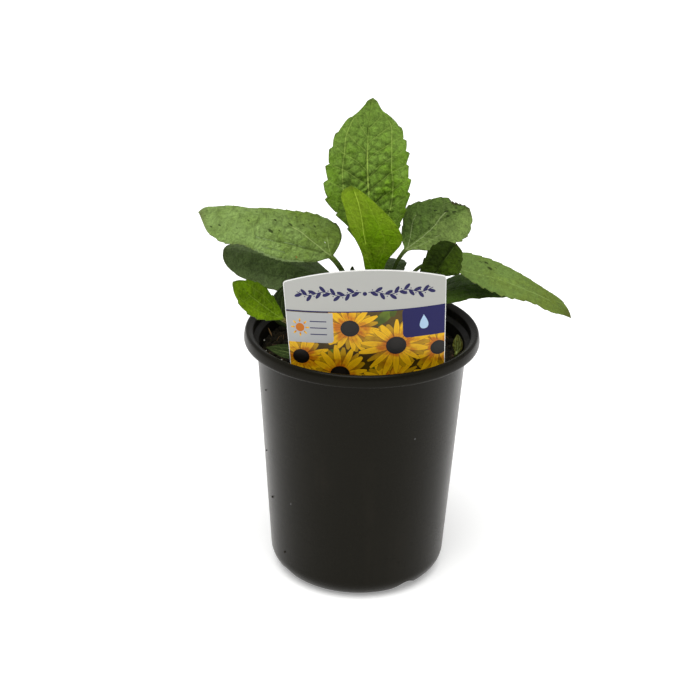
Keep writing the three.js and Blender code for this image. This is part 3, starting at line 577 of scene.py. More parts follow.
SHOOT_RIGHT = grown(
    "shoot_right", stalk=0.9, planted=(45.2, -7, 108),
    base=(46, -7, 119), middle=(46.6, -7.5, 124), tip=(46, -7, 129),
    face=(-0.3, -1, 0.3), half_width=(2.6, 2.6), fold=(10, 10),
    quilt=0.12, cell=1.4, veins=4, forward=0.3,
    colour=(112, 112, 44), other=(70, 62, 20), tone=(0.6, -0.2, 0.4), pale=(0.6, 0.5, 0.2),
)
LEAVES = (
    TALL_BACK, YOUNG, LEFT_UPPER, LEFT_LOWER, LEFT_SMALL, LEFT_SHADED, RIGHT_UPPER, RIGHT_CURLED,
    RIGHT_LONG, RIGHT_LOWER, SOIL_LEFT, BACK, BUD, SHOOT_RIGHT,
)


# Stage: the lamp's place and where it looks, and what the camera sees from and to, in metres, with
# the width of its sensor in millimetres.

LAMP_PLACE, LAMP_VIEW = (-0.2, -0.25, 1.2), (0.08, 0.42, -1)
SEEN_FROM, SEEN_TO = 0.01, 50
SENSOR_WIDTH = 36


# Numbers

def turns(count):
    """Angles all the way round in equal steps."""
    return np.arange(count) * 2 * np.pi / count


def unit(vectors):
    return vectors / np.linalg.norm(vectors, axis=-1, keepdims=True)


def smooth(value, low, high):
    """A smooth step from 0 at low to 1 at high."""
    t = np.clip((value - low) / (high - low), 0, 1)
    return t * t * (3 - 2 * t)


def bell(distance, width):
    """A soft peak of 1 that falls away over a width."""
    return np.exp(-((distance / width) ** 2))


def bezier(controls, t):
    """Places and directions on a Bezier curve."""
    t = np.asarray(t, float)[..., None]
    points = [np.broadcast_to(np.asarray(c, float), t.shape[:-1] + (3,)) for c in controls]
    while len(points) > 2:
        points = [(1 - t) * a + t * b for a, b in zip(points, points[1:])]
    start, end = points
    return (1 - t) * start + t * end, unit(end - start)


def lattice(x, y, size):
    """Places in steps of a size, and the whole numbers below them."""
    x, y = np.asarray(x) / size, np.asarray(y) / size
    return x, y, np.floor(x).astype(int), np.floor(y).astype(int)


def soft_noise(x, y, size, seed):
    """Smooth random heights from -1 to 1 over a plane, with features of a size."""
    table = np.random.default_rng(seed).uniform(-1, 1, (NOISE_TABLE, NOISE_TABLE))
    x, y, column, row = lattice(x, y, size)
    fx, fy = x - column, y - row
    fx, fy = fx * fx * (3 - 2 * fx), fy * fy * (3 - 2 * fy)
    at = lambda i, j: table[(column + i) % NOISE_TABLE, (row + j) % NOISE_TABLE]
    low = at(0, 0) * (1 - fx) + at(1, 0) * fx
    high = at(0, 1) * (1 - fx) + at(1, 1) * fx
    return low * (1 - fy) + high * fy


def cell_borders(x, y, size, seed):
    """Distance from the border between random cells, as a share of their size."""
    table = np.random.default_rng(seed).random((CELL_TABLE, CELL_TABLE, 2))
    x, y, column, row = lattice(x, y, size)
    nearest = np.full(x.shape, FAR)
    second = nearest.copy()
    for i in (-1, 0, 1):
        for j in (-1, 0, 1):
            middle = table[(column + i) % CELL_TABLE, (row + j) % CELL_TABLE]
            distance = np.hypot(column + i + middle[..., 0] - x, row + j + middle[..., 1] - y)
            second = np.where(distance < nearest, nearest, np.minimum(second, distance))
            nearest = np.minimum(nearest, distance)
    return second - nearest


# Pieces

def new_object(name, data):
    made = bpy.data.objects.new(name, data)
    bpy.context.scene.collection.objects.link(made)
    return made


def add_piece(name, points, faces, materials, nodes=()):
    """A piece of the object from points in millimetres, in the place of the CAD nodes it replaces."""
    mesh = bpy.data.meshes.new(name)
    mesh.from_pydata((np.asarray(points, float) * MM).tolist(), [], faces)
    piece = new_object(name, mesh)
    for material in materials:
        mesh.materials.append(material)
    mesh.shade_smooth()
    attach(piece, BODY)
    if nodes:
        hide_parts(*nodes)
    return piece


def set_values(piece, name, values, domain="POINT"):
    """A number, or a vector, for each point or face corner, which the materials read by name."""
    values = np.asarray(values, np.float32)
    kind, key = ("FLOAT", "value") if values.ndim == 1 else ("FLOAT_VECTOR", "vector")
    attribute = piece.data.attributes.new(name, kind, domain)
    attribute.data.foreach_set(key, values.ravel())


def grid_faces(rows, columns):
    """Faces between rings of points."""
    i, j = np.meshgrid(np.arange(rows - 1), np.arange(columns), indexing="ij")
    a = i * columns + j
    b = i * columns + (j + 1) % columns
    return np.stack([a, b, b + columns, a + columns], axis=-1).reshape(-1, 4)


def ring_body(rings, start, end):
    """Points and faces of a body from rings of points, which closes on a point at each end."""
    rows, sides = rings.shape[:2]
    faces = grid_faces(rows, sides).tolist()
    first, last = rows * sides, (rows - 1) * sides
    for j in range(sides):
        k = (j + 1) % sides
        faces.append([first, k, j])
        faces.append([first + 1, last + j, last + k])
    return np.concatenate([rings.reshape(-1, 3), [start], [end]]), faces


# Materials

def opaque(rgb):
    return (*rgb, 1) if len(rgb) == 3 else tuple(rgb)


def feed(tree, socket, value):
    """Sets an input to a value, or joins it to another node's output."""
    if isinstance(value, bpy.types.NodeSocket):
        tree.links.new(value, socket)
    else:
        socket.default_value = opaque(value) if socket.type == "RGBA" else value


def node(tree, kind, inputs=None, **settings):
    """A node with its settings and its inputs."""
    made = tree.nodes.new(kind)
    for name, value in settings.items():
        setattr(made, name, value)
    for name, value in (inputs or {}).items():
        feed(tree, made.inputs[name], value)
    return made


def scaled(rgb, factor):
    return tuple(factor * part for part in rgb)


def mix(tree, amount, first, second, blend="MIX"):
    """A mix of two colours. Its sockets share their names with others, so they go by number."""
    made = node(tree, "ShaderNodeMix", data_type="RGBA", blend_type=blend, clamp_factor=True)
    for index, value in zip(MIX_INPUTS, (amount, first, second)):
        feed(tree, made.inputs[index], value)
    return made.outputs[MIX_OUTPUT]


def math_node(tree, operation, first, second=0.0, third=0.0):
    return node(tree, "ShaderNodeMath", {0: first, 1: second, 2: third}, operation=operation).outputs[0]


def times(tree, first, second):
    return math_node(tree, "MULTIPLY", first, second)


def parts_of(tree, vector):
    """The three parts of a vector."""
    return node(tree, "ShaderNodeSeparateXYZ", {0: vector}).outputs


def step(tree, value, low, high, to_low=0.0, to_high=1.0):
    """A value brought from low..high to another range, with soft ends."""
    inputs = {"Value": value, "From Min": low, "From Max": high, "To Min": to_low, "To Max": to_high}
    return node(tree, "ShaderNodeMapRange", inputs, interpolation_type="SMOOTHSTEP").outputs[0]


def read(tree, name, output="Fac"):
    """A value that the mesh holds under a name."""
    return node(tree, "ShaderNodeAttribute", attribute_name=name).outputs[output]


def noise_node(tree, place, scale, detail=4, roughness=0.55, distortion=0):
    inputs = {
        "Vector": place, "Scale": scale, "Detail": detail, "Roughness": roughness, "Distortion": distortion,
    }
    return node(tree, "ShaderNodeTexNoise", inputs).outputs["Fac"]


def stretched(tree, place, scale):
    return node(tree, "ShaderNodeMapping", {"Vector": place, "Scale": scale}).outputs[0]


def bump(tree, height, distance, strength=1, normal=None):
    """Relief from a height, over the relief that is already in a normal."""
    inputs = {"Height": height, "Distance": distance, "Strength": strength}
    if normal is not None:
        inputs["Normal"] = normal
    return node(tree, "ShaderNodeBump", inputs).outputs[0]


def finish(material, base, rough, normal=None, **plain):
    """Sets a material's colour, roughness and relief, which may come from nodes, and plain numbers."""
    tree = material.node_tree
    values = {"Base_Color": base, "Roughness": rough, **plain}
    if normal is not None:
        values["Normal"] = normal
    for socket, value in values.items():
        feed(tree, tree.nodes["finish"].inputs[socket.replace("_", " ")], value)
    return material


def new_material(name):
    """A new material, its node tree and its object coordinates in metres."""
    material = bpy.data.materials.new(name)
    material.use_nodes = True
    tree = material.node_tree
    tree.nodes.clear()
    shader = node(tree, "ShaderNodeBsdfPrincipled", name="finish")
    node(tree, "ShaderNodeOutputMaterial", {"Surface": shader.outputs[0]})
    place = node(tree, "ShaderNodeTexCoord").outputs["Object"]
    return material, tree, place


# Pot

def heel_points(pot, inset):
    """The rounded heel from its upper end down to the flat base, moved in by an inset."""
    flat = pot.foot_radius - pot.heel_width
    points = []
    for i in range(HEEL_STEPS + 1):
        angle = math.pi / 2 * i / HEEL_STEPS
        drop = (pot.heel_height - inset) * math.sin(angle)
        points.append((flat + (pot.heel_width - inset) * math.cos(angle), pot.heel_height - drop))
    return points


def pot_profile(pot):
    """The pot's section, up its outside, over the rim and down its inside."""
    outside = heel_points(pot, 0)[::-1]
    inside = heel_points(pot, pot.wall)
    inside[-1] = (inside[-1][0], pot.floor)
    rim = [(pot.rim_radius - inward * MM, pot.height - down * MM) for inward, down in RIM_SECTION]
    inner_top = (pot.top_radius - pot.wall, pot.ledge)
    return [*outside, (pot.top_radius, pot.ledge), *rim, inner_top, *inside]


def turned(profile, sides):
    """Points and faces of a closed turned body from a profile that starts and ends beside the axis."""
    angles = turns(sides)
    ring = np.stack([np.cos(angles), np.sin(angles)], axis=-1)
    rings = np.array([np.column_stack([ring * radius, np.full(sides, height)]) for radius, height in profile])
    return ring_body(rings, (0, 0, profile[0][1]), (0, 0, profile[-1][1]))


def applied(piece):
    """Turns a piece's modifiers into its mesh."""
    graph = bpy.context.evaluated_depsgraph_get()
    made = bpy.data.meshes.new_from_object(piece.evaluated_get(graph))
    piece.modifiers.clear()
    old, piece.data = piece.data, made
    bpy.data.meshes.remove(old)


def notch_cutters(pot):
    """Bars through the heel with the drain notches' section, which rises softly to its middle."""
    section = [(-0.5 * pot.notch_width, -MM)]
    for k in range(NOTCH_STEPS + 1):
        across = k / NOTCH_STEPS - 0.5
        section.append((across * pot.notch_width, pot.notch_height * math.cos(math.pi * across) ** 2))
    section.append((0.5 * pot.notch_width, -MM))
    bars = bmesh.new()
    for angle in NOTCH_ANGLES:
        turn = Quaternion((0, 0, 1), math.radians(angle))
        inner, outer = (
            [bars.verts.new(turn @ Vector((out, across, up))) for across, up in section]
            for out in (pot.notch_inner, pot.foot_radius + 2 * pot.wall)
        )
        for k in range(len(section)):
            after = (k + 1) % len(section)
            bars.faces.new((inner[k], inner[after], outer[after], outer[k]))
        bars.faces.new(inner[::-1])
        bars.faces.new(outer)
    bmesh.ops.recalc_face_normals(bars, faces=bars.faces)
    mesh = bpy.data.meshes.new("notches")
    bars.to_mesh(mesh)
    bars.free()
    return new_object("notches", mesh)


def cut_notches(pot, body):
    """Cuts the drain notches and softens the moulded edges."""
    cutters = notch_cutters(pot)
    cut = body.modifiers.new("notches", "BOOLEAN")
    cut.operation, cut.solver, cut.object = "DIFFERENCE", "EXACT", cutters
    soften = body.modifiers.new("edges", "BEVEL")
    soften.width, soften.segments, soften.limit_method = pot.rounding, 3, "ANGLE"
    soften.angle_limit = ROUNDED_EDGE
    applied(body)
    bpy.data.objects.remove(cutters)
    body.data.shade_smooth()
    body.data.set_sharp_from_angle(angle=SHARP_EDGE)


def dull_inside(pot, body):
    """Gives the faces inside the rim the body's second material, which is rougher and darker: painted shade.
    """
    lip = pot.rim_radius - INNER_LIP * MM
    for face in body.data.polygons:
        radius = math.hypot(face.center.x, face.center.y)
        outward = (face.normal.x * face.center.x + face.normal.y * face.center.y) / radius
        face.material_index = int(radius < lip and outward < 0.2 and face.normal.z > -0.5)


def pot_inside(pot):
    """The pot's plastic inside the rim: rougher, with dust, and darker than outside as painted shade."""
    material, tree, place = new_material("pot_inside")
    cloud = noise_node(tree, place, 90, 5, 0.6)
    grain = noise_node(tree, place, 1400, 3)
    # Darker than the outside plastic: painted shade inside the pot.
    base = mix(tree, step(tree, cloud, 0.4, 0.75, 0, 0.15), scaled(pot.colour, 0.85), pot.dust)
    rough = step(tree, cloud, 0.3, 0.7, 0.34, 0.5)
    return finish(material, base, rough, bump(tree, grain, 0.00005, 0.6), Specular_IOR_Level=PLASTIC_GLOSS)


def pot_marks(tree, place, base):
    """Small scuffs on the plastic."""
    for x, y, z, size, grey in POT_MARKS:
        ends = {0: place, 1: (x * MM, y * MM, z * MM)}
        far = node(tree, "ShaderNodeVectorMath", ends, operation="DISTANCE").outputs["Value"]
        scuffed = step(tree, far, 0.5 * size * MM, size * MM, 1, 0)
        base = mix(tree, scuffed, base, linear(grey, grey, grey))
    return base


def pot_plastic(pot):
    """Moulded black plastic: a fine grain, flow lines round the wall and a film of dust."""
    material, tree, place = new_material("pot_plastic")
    grain = noise_node(tree, place, 2600, 2)
    cloud = noise_node(tree, place, 28, 5, 0.6)
    rings = noise_node(tree, stretched(tree, place, (6, 6, 420)), 1, 3)
    streaks = noise_node(tree, stretched(tree, place, (160, 160, 5)), 1, 3)
    film = times(tree, step(tree, cloud, 0.42, 0.8), step(tree, streaks, 0.35, 0.75))
    base = pot_marks(tree, place, mix(tree, times(tree, film, 0.05), pot.colour, pot.dust))
    rough = step(tree, math_node(tree, "ADD", cloud, times(tree, grain, 0.3)), 0.3, 1, 0.22, 0.32)
    relief = bump(tree, grain, 0.00003, 0.6, bump(tree, rings, 0.00006, 0.5))
    gloss = {"Specular_IOR_Level": PLASTIC_GLOSS, "Specular_Tint": WARM_GLOSS}
    dusty = {"Sheen_Weight": 0.03, "Sheen_Roughness": 0.4, "Sheen_Tint": DUSTY_SHEEN}
    return finish(material, base, rough, relief, **gloss, **dusty)


# Soil

def soil_height(soil, x, y):
    """Height of the soil's surface in millimetres, with the swell of the solid and its crumbs."""
    radius, angle = np.hypot(x, y), np.arctan2(y, x)
    swell = 1.1 * np.sin(radius / 9 + 2 * angle) * np.cos(3 * angle - radius / 14)
    lumps = 0.7 * soft_noise(x, y, 5.5, soil.seed) + 0.5 * soft_noise(x, y, 2.3, soil.seed + 1)
    fine = 0.5 * smooth(cell_borders(x, y, 2.1, soil.seed + 2), 0, 0.5)
    fine = fine + 0.25 * soft_noise(x, y, 0.9, soil.seed + 3)
    return soil.level / MM + swell + soil.crumb / MM * (lumps + fine - 0.3)


def soil_bed(soil, pot, material):
    """The body of soil, from the floor up to its crumbly surface."""
    inset = pot.wall + soil.gap
    slope = (pot.top_radius - pot.foot_radius) / (pot.ledge - pot.heel_height)
    edge = (pot.foot_radius + slope * (soil.level - pot.heel_height) - inset) / MM
    angles = turns(SOIL_SIDES)
    rows = []
    for r, z in heel_points(pot, inset)[::-1]:
        rows.append((r / MM, np.full(SOIL_SIDES, max(z, pot.floor + soil.gap) / MM)))
    foot = rows[0][1][0]
    for i in range(SOIL_ROWS):
        radius = edge * (1 - i / SOIL_ROWS) ** 0.85
        height = soil_height(soil, radius * np.cos(angles), radius * np.sin(angles))
        rows.append((radius, height - SOIL_EDGE_FALL * bell(edge - radius, SOIL_EDGE_WIDTH)))
    rings = np.array([np.column_stack([r * np.cos(angles), r * np.sin(angles), z]) for r, z in rows])
    points, faces = ring_body(rings, (0, 0, foot), (0, 0, soil.level / MM))
    add_piece("soil_bed", points, faces, [material], ["soil"])


def lump(draw, size, stretch, turn=None):
    """Points and faces of a rough crumb, stretched along three directions and turned at random."""
    shape = bmesh.new()
    bmesh.ops.create_icosphere(shape, subdivisions=2, radius=1)
    points = np.array([v.co for v in shape.verts])
    faces = [[v.index for v in face.verts] for face in shape.faces]
    shape.free()
    x, y, z = (points + draw.uniform(-50, 50, 3)).T
    rough = sum(soft_noise(a, b, 0.8, 11 + k) for k, (a, b) in enumerate(((x, y), (y, z), (z, x))))
    points = points * (1 + 0.16 * rough[:, None]) * np.array(stretch) * size
    spin = turn or Quaternion(draw.normal(size=4)).normalized()
    return np.array([spin @ Vector(p) for p in points]), faces


def fused(parts):
    """One set of points, faces and a number for each point from several parts with a number each."""
    points, faces, numbers, start = [], [], [], 0
    for part_points, part_faces, value in parts:
        points.append(part_points)
        faces.extend([[start + k for k in face] for face in part_faces])
        numbers.append(np.full(len(part_points), value))
        start += len(part_points)
    return np.concatenate(points), faces, np.concatenate(numbers)


def soil_places(label, draw, count, edge, clear):
    """Random places on the soil, clear of the wall, the crown and the label."""
    crown_clear = max(r for r, _ in CROWN_PROFILE) + clear
    places = []
    while len(places) < count:
        x, y = draw.uniform(-edge, edge, 2)
        near_wall = math.hypot(x, y) > edge - clear
        near_crown = math.hypot(x - CROWN_PLACE[0], y - CROWN_PLACE[1]) < crown_clear
        near_label = abs(x) < label.width_top / MM / 2 and abs(y - label_depth(label, x)) < 0.8 + clear
        if not (near_wall or near_crown or near_label):
            places.append((x, y))
    return places


def label_depth(label, x):
    """How far back the label's sheet stands at a place across it."""
    bend = label.bend / MM
    return label.front / MM + bend - math.sqrt(bend**2 - x**2)


def tube(path, radius, sides=5):
    """Points and faces of a thin round thread along a path, which tapers at both ends."""
    path = np.array(path)
    along = unit(np.gradient(path, axis=0))
    side = unit(np.cross(along, [0.3, 0.2, 1]))
    up = np.cross(side, along)
    angles = turns(sides)
    taper = np.sin(np.linspace(0.25, np.pi - 0.25, len(path)))[:, None, None]
    ring = side[:, None] * np.cos(angles)[None, :, None] + up[:, None] * np.sin(angles)[None, :, None]
    points = (path[:, None] + radius * taper * ring).reshape(-1, 3)
    faces = grid_faces(len(path), sides)[:, ::-1].tolist()
    last = (len(path) - 1) * sides
    return points, faces + [list(range(sides)), [last + j for j in range(sides)][::-1]]


def on_soil(soil, x, y, lift):
    return np.array([x, y, float(soil_height(soil, x, y)) + lift])


def crumb(draw):
    """A crumb's points and faces, and how high its middle lies."""
    size = draw.uniform(0.45, 1.5) ** 1.3
    return *lump(draw, size, draw.uniform(0.6, 1.3, 3)), 0.3 * size


def bark_piece(draw):
    size = draw.uniform(1.2, 2.9)
    turn = Quaternion((0, 0, 1), draw.uniform(0, 6.3)) @ Quaternion((1, 0, 0), draw.uniform(-0.4, 0.4))
    return *lump(draw, size, (1.4, draw.uniform(0.4, 0.8), 0.3), turn), 0.6


def white_grain(draw):
    return *lump(draw, draw.uniform(0.35, 0.75), draw.uniform(0.7, 1.2, 3)), 0.5


def scattered(make, soil, draw, places):
    """Loose pieces on the soil, each with a shade of its own."""
    parts = []
    for x, y in places:
        points, faces, lift = make(draw)
        parts.append((points + on_soil(soil, x, y, lift), faces, draw.uniform()))
    return parts


def loose_fibres(soil, draw, places):
    parts = []
    for x, y in places:
        heading = draw.uniform(0, 6.3)
        steps = np.linspace(-0.5, 0.5, 8) * draw.uniform(4, 9)
        bow = draw.uniform(-1.6, 1.6) * np.cos(steps / 4)
        px = x + steps * math.cos(heading) - bow * math.sin(heading)
        py = y + steps * math.sin(heading) + bow * math.cos(heading)
        pz = soil_height(soil, px, py).max() + 0.15 + 0.4 * draw.uniform() * np.cos(steps)
        points, faces = tube(np.stack([px, py, pz], axis=-1), draw.uniform(0.08, 0.2))
        parts.append((points, faces, draw.uniform()))
    return parts


def stick():
    """The short pale stick that lies at the left."""
    steps = np.linspace(0, 1, 6)[:, None]
    start, end = np.array(STICK_ENDS)
    heights = STICK_HEIGHT - STICK_FALL * steps[:, 0]
    points, faces = tube(np.column_stack([(1 - steps) * start + steps * end, heights]), STICK_RADIUS)
    return points, faces, STICK_SHADE


def soil_litter(soil, pot, label, materials):
    """The loose crumbs, bark, white grains and fibres on the soil, and the specks on the pot."""
    draw = np.random.default_rng(soil.seed)
    edge = (pot.top_radius - pot.wall) / MM - 1.2
    places = lambda count, clear: soil_places(label, draw, count, edge, clear)
    crumbs = scattered(crumb, soil, draw, places(soil.crumbs, 1.6))
    barks = scattered(bark_piece, soil, draw, places(soil.barks, 4))
    grains = scattered(white_grain, soil, draw, places(soil.grains, 1.6))
    fibres = [*loose_fibres(soil, draw, places(soil.fibres, 5)), stick()]
    for x, y, size in PLACED_GRAINS:
        points, faces = lump(draw, size, (1, 0.8, 0.7))
        grains.append((points + on_soil(soil, x, y, 0.6), faces, 1))
    for x, y, z, size in WALL_SPECKS:
        points, faces = lump(draw, size, (1, 1, 1))
        crumbs.append((points + (x, y, z), faces, 0))
    names = ("soil_crumbs", "soil_bark", "soil_grains", "soil_fibres")
    for name, parts, material in zip(names, (crumbs, barks, grains, fibres), materials):
        points, faces, shade = fused(parts)
        set_values(add_piece(name, points, faces, [material]), "shade", shade)


def earth(name, dark, light, scale, rough=0.95, relief=0.0004):
    """Crumbling matter between two colours, each loose piece with a shade of its own."""
    material, tree, place = new_material(name)
    broad = noise_node(tree, place, scale * 0.25, 4, 0.6)
    fine = noise_node(tree, place, scale, 6, 0.7)
    amount = times(tree, step(tree, fine, 0.3, 0.75), step(tree, broad, 0.25, 0.7, 0.35, 1))
    shade = times(tree, read(tree, "shade"), 0.5)
    base = mix(tree, math_node(tree, "ADD", amount, shade), dark, light)
    return finish(material, base, rough, bump(tree, fine, relief), Specular_IOR_Level=0.2)


# Crown

def crown_radius(height):
    heights = [z for _, z in CROWN_PROFILE]
    return float(np.interp(height, heights, [r for r, _ in CROWN_PROFILE]))


def crown_stem(material):
    """The short stem, ribbed by the feet of the leaf stalks that clasp it."""
    low, high = CROWN_PROFILE[1][1], CROWN_PROFILE[-2][1] + 1.2
    heights = np.linspace(low, high, CROWN_ROWS)[:, None]
    angles = turns(CROWN_SIDES)[None, :]
    radius = np.interp(heights, [z for _, z in CROWN_PROFILE], [r for r, _ in CROWN_PROFILE])
    radius = radius * (1 + 0.05 * np.sin(9 * angles + heights / 6) + 0.03 * np.sin(23 * angles))
    for leaf in LEAVES:
        if leaf.root:
            heading, height = leaf.root
            turn = np.abs((angles - math.radians(heading) + np.pi) % (2 * np.pi) - np.pi)
            radius = radius + 1.1 * bell(turn * radius, 2.4) * bell(heights - height + 1.5, 4)
    radius = radius + 0.15 * soft_noise(angles * 9, heights, 1.4, 5)
    x, y = CROWN_PLACE[0] + radius * np.cos(angles), CROWN_PLACE[1] + radius * np.sin(angles)
    rings = np.stack([x, y, heights + 0 * angles], axis=-1)
    points, faces = ring_body(rings, (*CROWN_PLACE, low - 1), (*CROWN_PLACE, high + 0.8))
    add_piece("crown_stem", points, faces, [material], ["crown"])


def crown_tissue(settings):
    """Fibrous skin, green above and brown like the stalks' feet near the soil."""
    material, tree, place = new_material("crown_tissue")
    fibre = noise_node(tree, stretched(tree, place, (900, 900, 60)), 1, 4, 0.6)
    height = parts_of(tree, place)[2]
    base = mix(tree, step(tree, fibre, 0.35, 0.7, 0, 0.7), settings.crown, settings.stalk_foot)
    base = mix(tree, step(tree, height, *CROWN_TURN), settings.stalk_foot, base)
    return finish(material, base, 0.7, bump(tree, fibre, 0.0003), Specular_IOR_Level=0.3)


# Plant label

def label_point(label, across, up, through):
    """A point of the bent label, from its place across and below the top and through the sheet."""
    bend = label.bend / MM
    x = across * math.cos(label.tilt) - up * math.sin(label.tilt)
    z = across * math.sin(label.tilt) + up * math.cos(label.tilt)
    radius, turn = bend - through, x / bend
    return (
        label.centre_x / MM + radius * math.sin(turn),
        label.front / MM + bend - radius * math.cos(turn),
        label.top / MM + z,
    )


def label_outline(label, inset=0):
    """The flat label's outline, moved in by an inset, anticlockwise from the stake's point."""
    widths = (label.width_top / 2, label.width_foot / 2, label.stake)
    half, foot, stake = (width / MM - inset for width in widths)
    arch, corner, panel = label.arch / MM, label.corner / MM, label.panel / MM
    whole, shoulder = label.whole / MM, label.shoulder / MM
    side = [(stake - 0.3, label.point / MM - whole)]
    quarter = np.linspace(0, math.pi / 2, 14)
    side += [(stake + (foot - stake) * math.sin(t), -panel - shoulder * math.cos(t)) for t in quarter]
    rounded = half - corner * (1 - np.cos(np.linspace(0, math.pi / 2, 6)))
    for x in [*rounded, *np.linspace(half - corner, 0, 20)[1:]]:
        over = max(0, x - (half - corner))
        side.append((x, -inset - arch * (x / half) ** 2 - corner + math.sqrt(corner**2 - over**2)))
    return [(0, -whole), *side, *[(-x, y) for x, y in side[-2::-1]]]


def rounded_panel(left, right, low, high, radius, corners):
    """A panel's outline with some of its corners rounded, anticlockwise from the lower left."""
    middles = [(left, low, 180), (right, low, 270), (right, high, 0), (left, high, 90)]
    inward = [(1, 1), (-1, 1), (-1, -1), (1, -1)]
    outline = []
    for k, ((x, y, start), (sx, sy)) in enumerate(zip(middles, inward)):
        if k not in corners:
            outline.append((x, y))
            continue
        for t in np.radians(np.linspace(start, start + 90, 6)):
            outline.append((x + sx * radius + radius * math.cos(t), y + sy * radius + radius * math.sin(t)))
    return outline


def printed_petal(x, y, start, reach, width, angle, squash):
    """A broad rounded petal's outline and the line that its shading follows."""
    direction = np.array([math.cos(angle), math.sin(angle) * squash])
    across = np.array([-math.sin(angle), math.cos(angle) * squash])
    t = np.linspace(0, 1, 9)
    half = width / 2 * np.sin(np.pi * (0.16 + 0.76 * t**1.2)) ** 0.8
    middle = np.array([x, y]) + direction * (start + (reach - start) * t)[:, None]
    sides = [middle - across * half[:, None], (middle + across * half[:, None])[::-1]]
    return np.concatenate(sides).tolist(), (middle[0], middle[-1])


def printed_disc(x, y, radius, squash, count=20):
    return [(x + radius * math.cos(t), y + radius * squash * math.sin(t)) for t in turns(count)]


def band(left, right, low, high):
    return [(left, low), (right, low), (right, high), (left, high)]


def stem_height(x):
    """Height of the garland's waving stem at a distance from its middle."""
    return GARLAND_HEIGHT + GARLAND_WAVE * math.sin(GARLAND_TURN * x)


def garland():
    """A waving stem with leaves on both its sides that grows out from a round middle, as outlines."""
    outlines = [printed_disc(0, GARLAND_HEIGHT, 1, 1)]
    for side in (-1, 1):
        steps = np.linspace(*GARLAND_STEM, 60)
        stem = [(x, stem_height(x) - STEM_HALF) for x in steps]
        stem += [(x, stem_height(x) + STEM_HALF) for x in steps[::-1]]
        outlines.append([(side * x, y) for x, y in stem][::side])
        for k in range(GARLAND_LEAVES):
            x, lean = 2.6 + 2.2 * k, 1 if k % 2 else -1
            rise = GARLAND_WAVE * GARLAND_TURN * math.cos(GARLAND_TURN * x)
            heading = lean * math.radians(40) + math.atan(rise)
            outline, _ = printed_petal(x, stem_height(x), 0.2, 3.8, 1.7, heading, 1)
            outlines.append([(side * x, y) for x, y in outline][::side])
            berry = stem_height(x + 0.9) - lean * 0.9
            outlines.append(printed_disc(side * (x + 0.9), berry, 0.3, 1, 10))
    return outlines


def bloom(x, y, disc, reach, count, squash):
    """A printed flower: a rear and a front row of petals, folded in front, round its disc."""
    regions = []
    for row, (ink, reach_share, gap) in enumerate(PETAL_ROWS):
        for k in range(count):
            angle = 2 * math.pi * (k + 0.5 * row + 0.16 * math.sin(2.9 * k + x)) / count + 0.3 * x
            long = reach * reach_share * (1 + 0.14 * math.sin(5.3 * k + x))
            width = 2 * math.pi * reach * (0.46 + 0.08 * math.sin(3.7 * k)) / count
            start = 0.5 * disc
            outline, line = printed_petal(x, y, start, long + 0.4 * gap, width + gap, angle, squash)
            regions.append((outline, "petal_gap", line))
            outline, line = printed_petal(x, y, start, long, width, angle, squash)
            regions.append((outline, ink, line))
            for turn in PETAL_FOLDS if ink == "petal" else ():
                outline, line = printed_petal(x, y, disc, 0.8 * long, 0.22, angle + turn, squash)
                regions.append((outline, "petal_fold", line))
    line = ((x, y - disc), (x, y + disc))
    regions.append((printed_disc(x, y, disc, squash), "disc", line))
    regions.append((printed_disc(x, y + 0.15 * disc, 0.6 * disc, squash), "disc_middle", line))
    return regions


def emblems():
    """Three short lines and a small sun on the white panel, and a water drop on the blue one."""
    regions = [(band(*SHORT_LINES, low, low + 0.5), "ink", NO_LINE) for low in SHORT_LINE_HEIGHTS]
    for k in range(8):
        outline, line = printed_petal(*SUN, 2.6, 4.4, 0.9, math.radians(45 * k), 1)
        regions.append((outline, "petal", line))
    regions.append((printed_disc(*SUN, 2.1, 1), "petal", NO_LINE))
    drop = []
    for t in np.linspace(0, 2 * math.pi, 31)[:-1]:
        bulge = 2.9 * math.sin(t) * math.sin(t / 2) ** 1.4
        drop.append((DROP[0] + bulge, DROP[1] + 3.6 * math.cos(t)))
    return [*regions, (drop[::-1], "symbol", NO_LINE)]


def label_regions(label):
    """The print as flat outlines in painting order: outline, ink and the line its shading follows.
    The first is the whole label, the second its printed part and the third the picture."""
    half = label.width_top / MM / 2 + 1
    low, high = PICTURE_HEIGHTS
    regions = [
        (label_outline(label), "edge", NO_LINE), (label_outline(label, label.margin / MM), "sheet", NO_LINE),
        (band(-half, half, low, high), "backdrop", ((0, low), (0, high))),
    ]
    for x, y, reach, width, angle in PRINTED_LEAVES:
        outline, line = printed_petal(x, y, 0.5, reach, width, math.radians(angle), 1)
        regions.append((outline, "sprig", line))
    for flower in PRINTED_BLOOMS:
        regions.extend(bloom(*flower))
    white = rounded_panel(-half, WHITE_PANEL_RIGHT, *WHITE_PANEL_HEIGHTS, 1.8, (1,))
    blue = rounded_panel(BLUE_PANEL_LEFT, half, *BLUE_PANEL_HEIGHTS, 2.2, (0, 3))
    dark_line = band(-half, half, *DARK_LINE_HEIGHTS)
    plain = [(dark_line, "ink"), (white, "panel"), (blue, "panel_blue")]
    plain += [(outline, "ink") for outline in garland()]
    return [*regions, *[(outline, ink, NO_LINE) for outline, ink in plain], *emblems()]


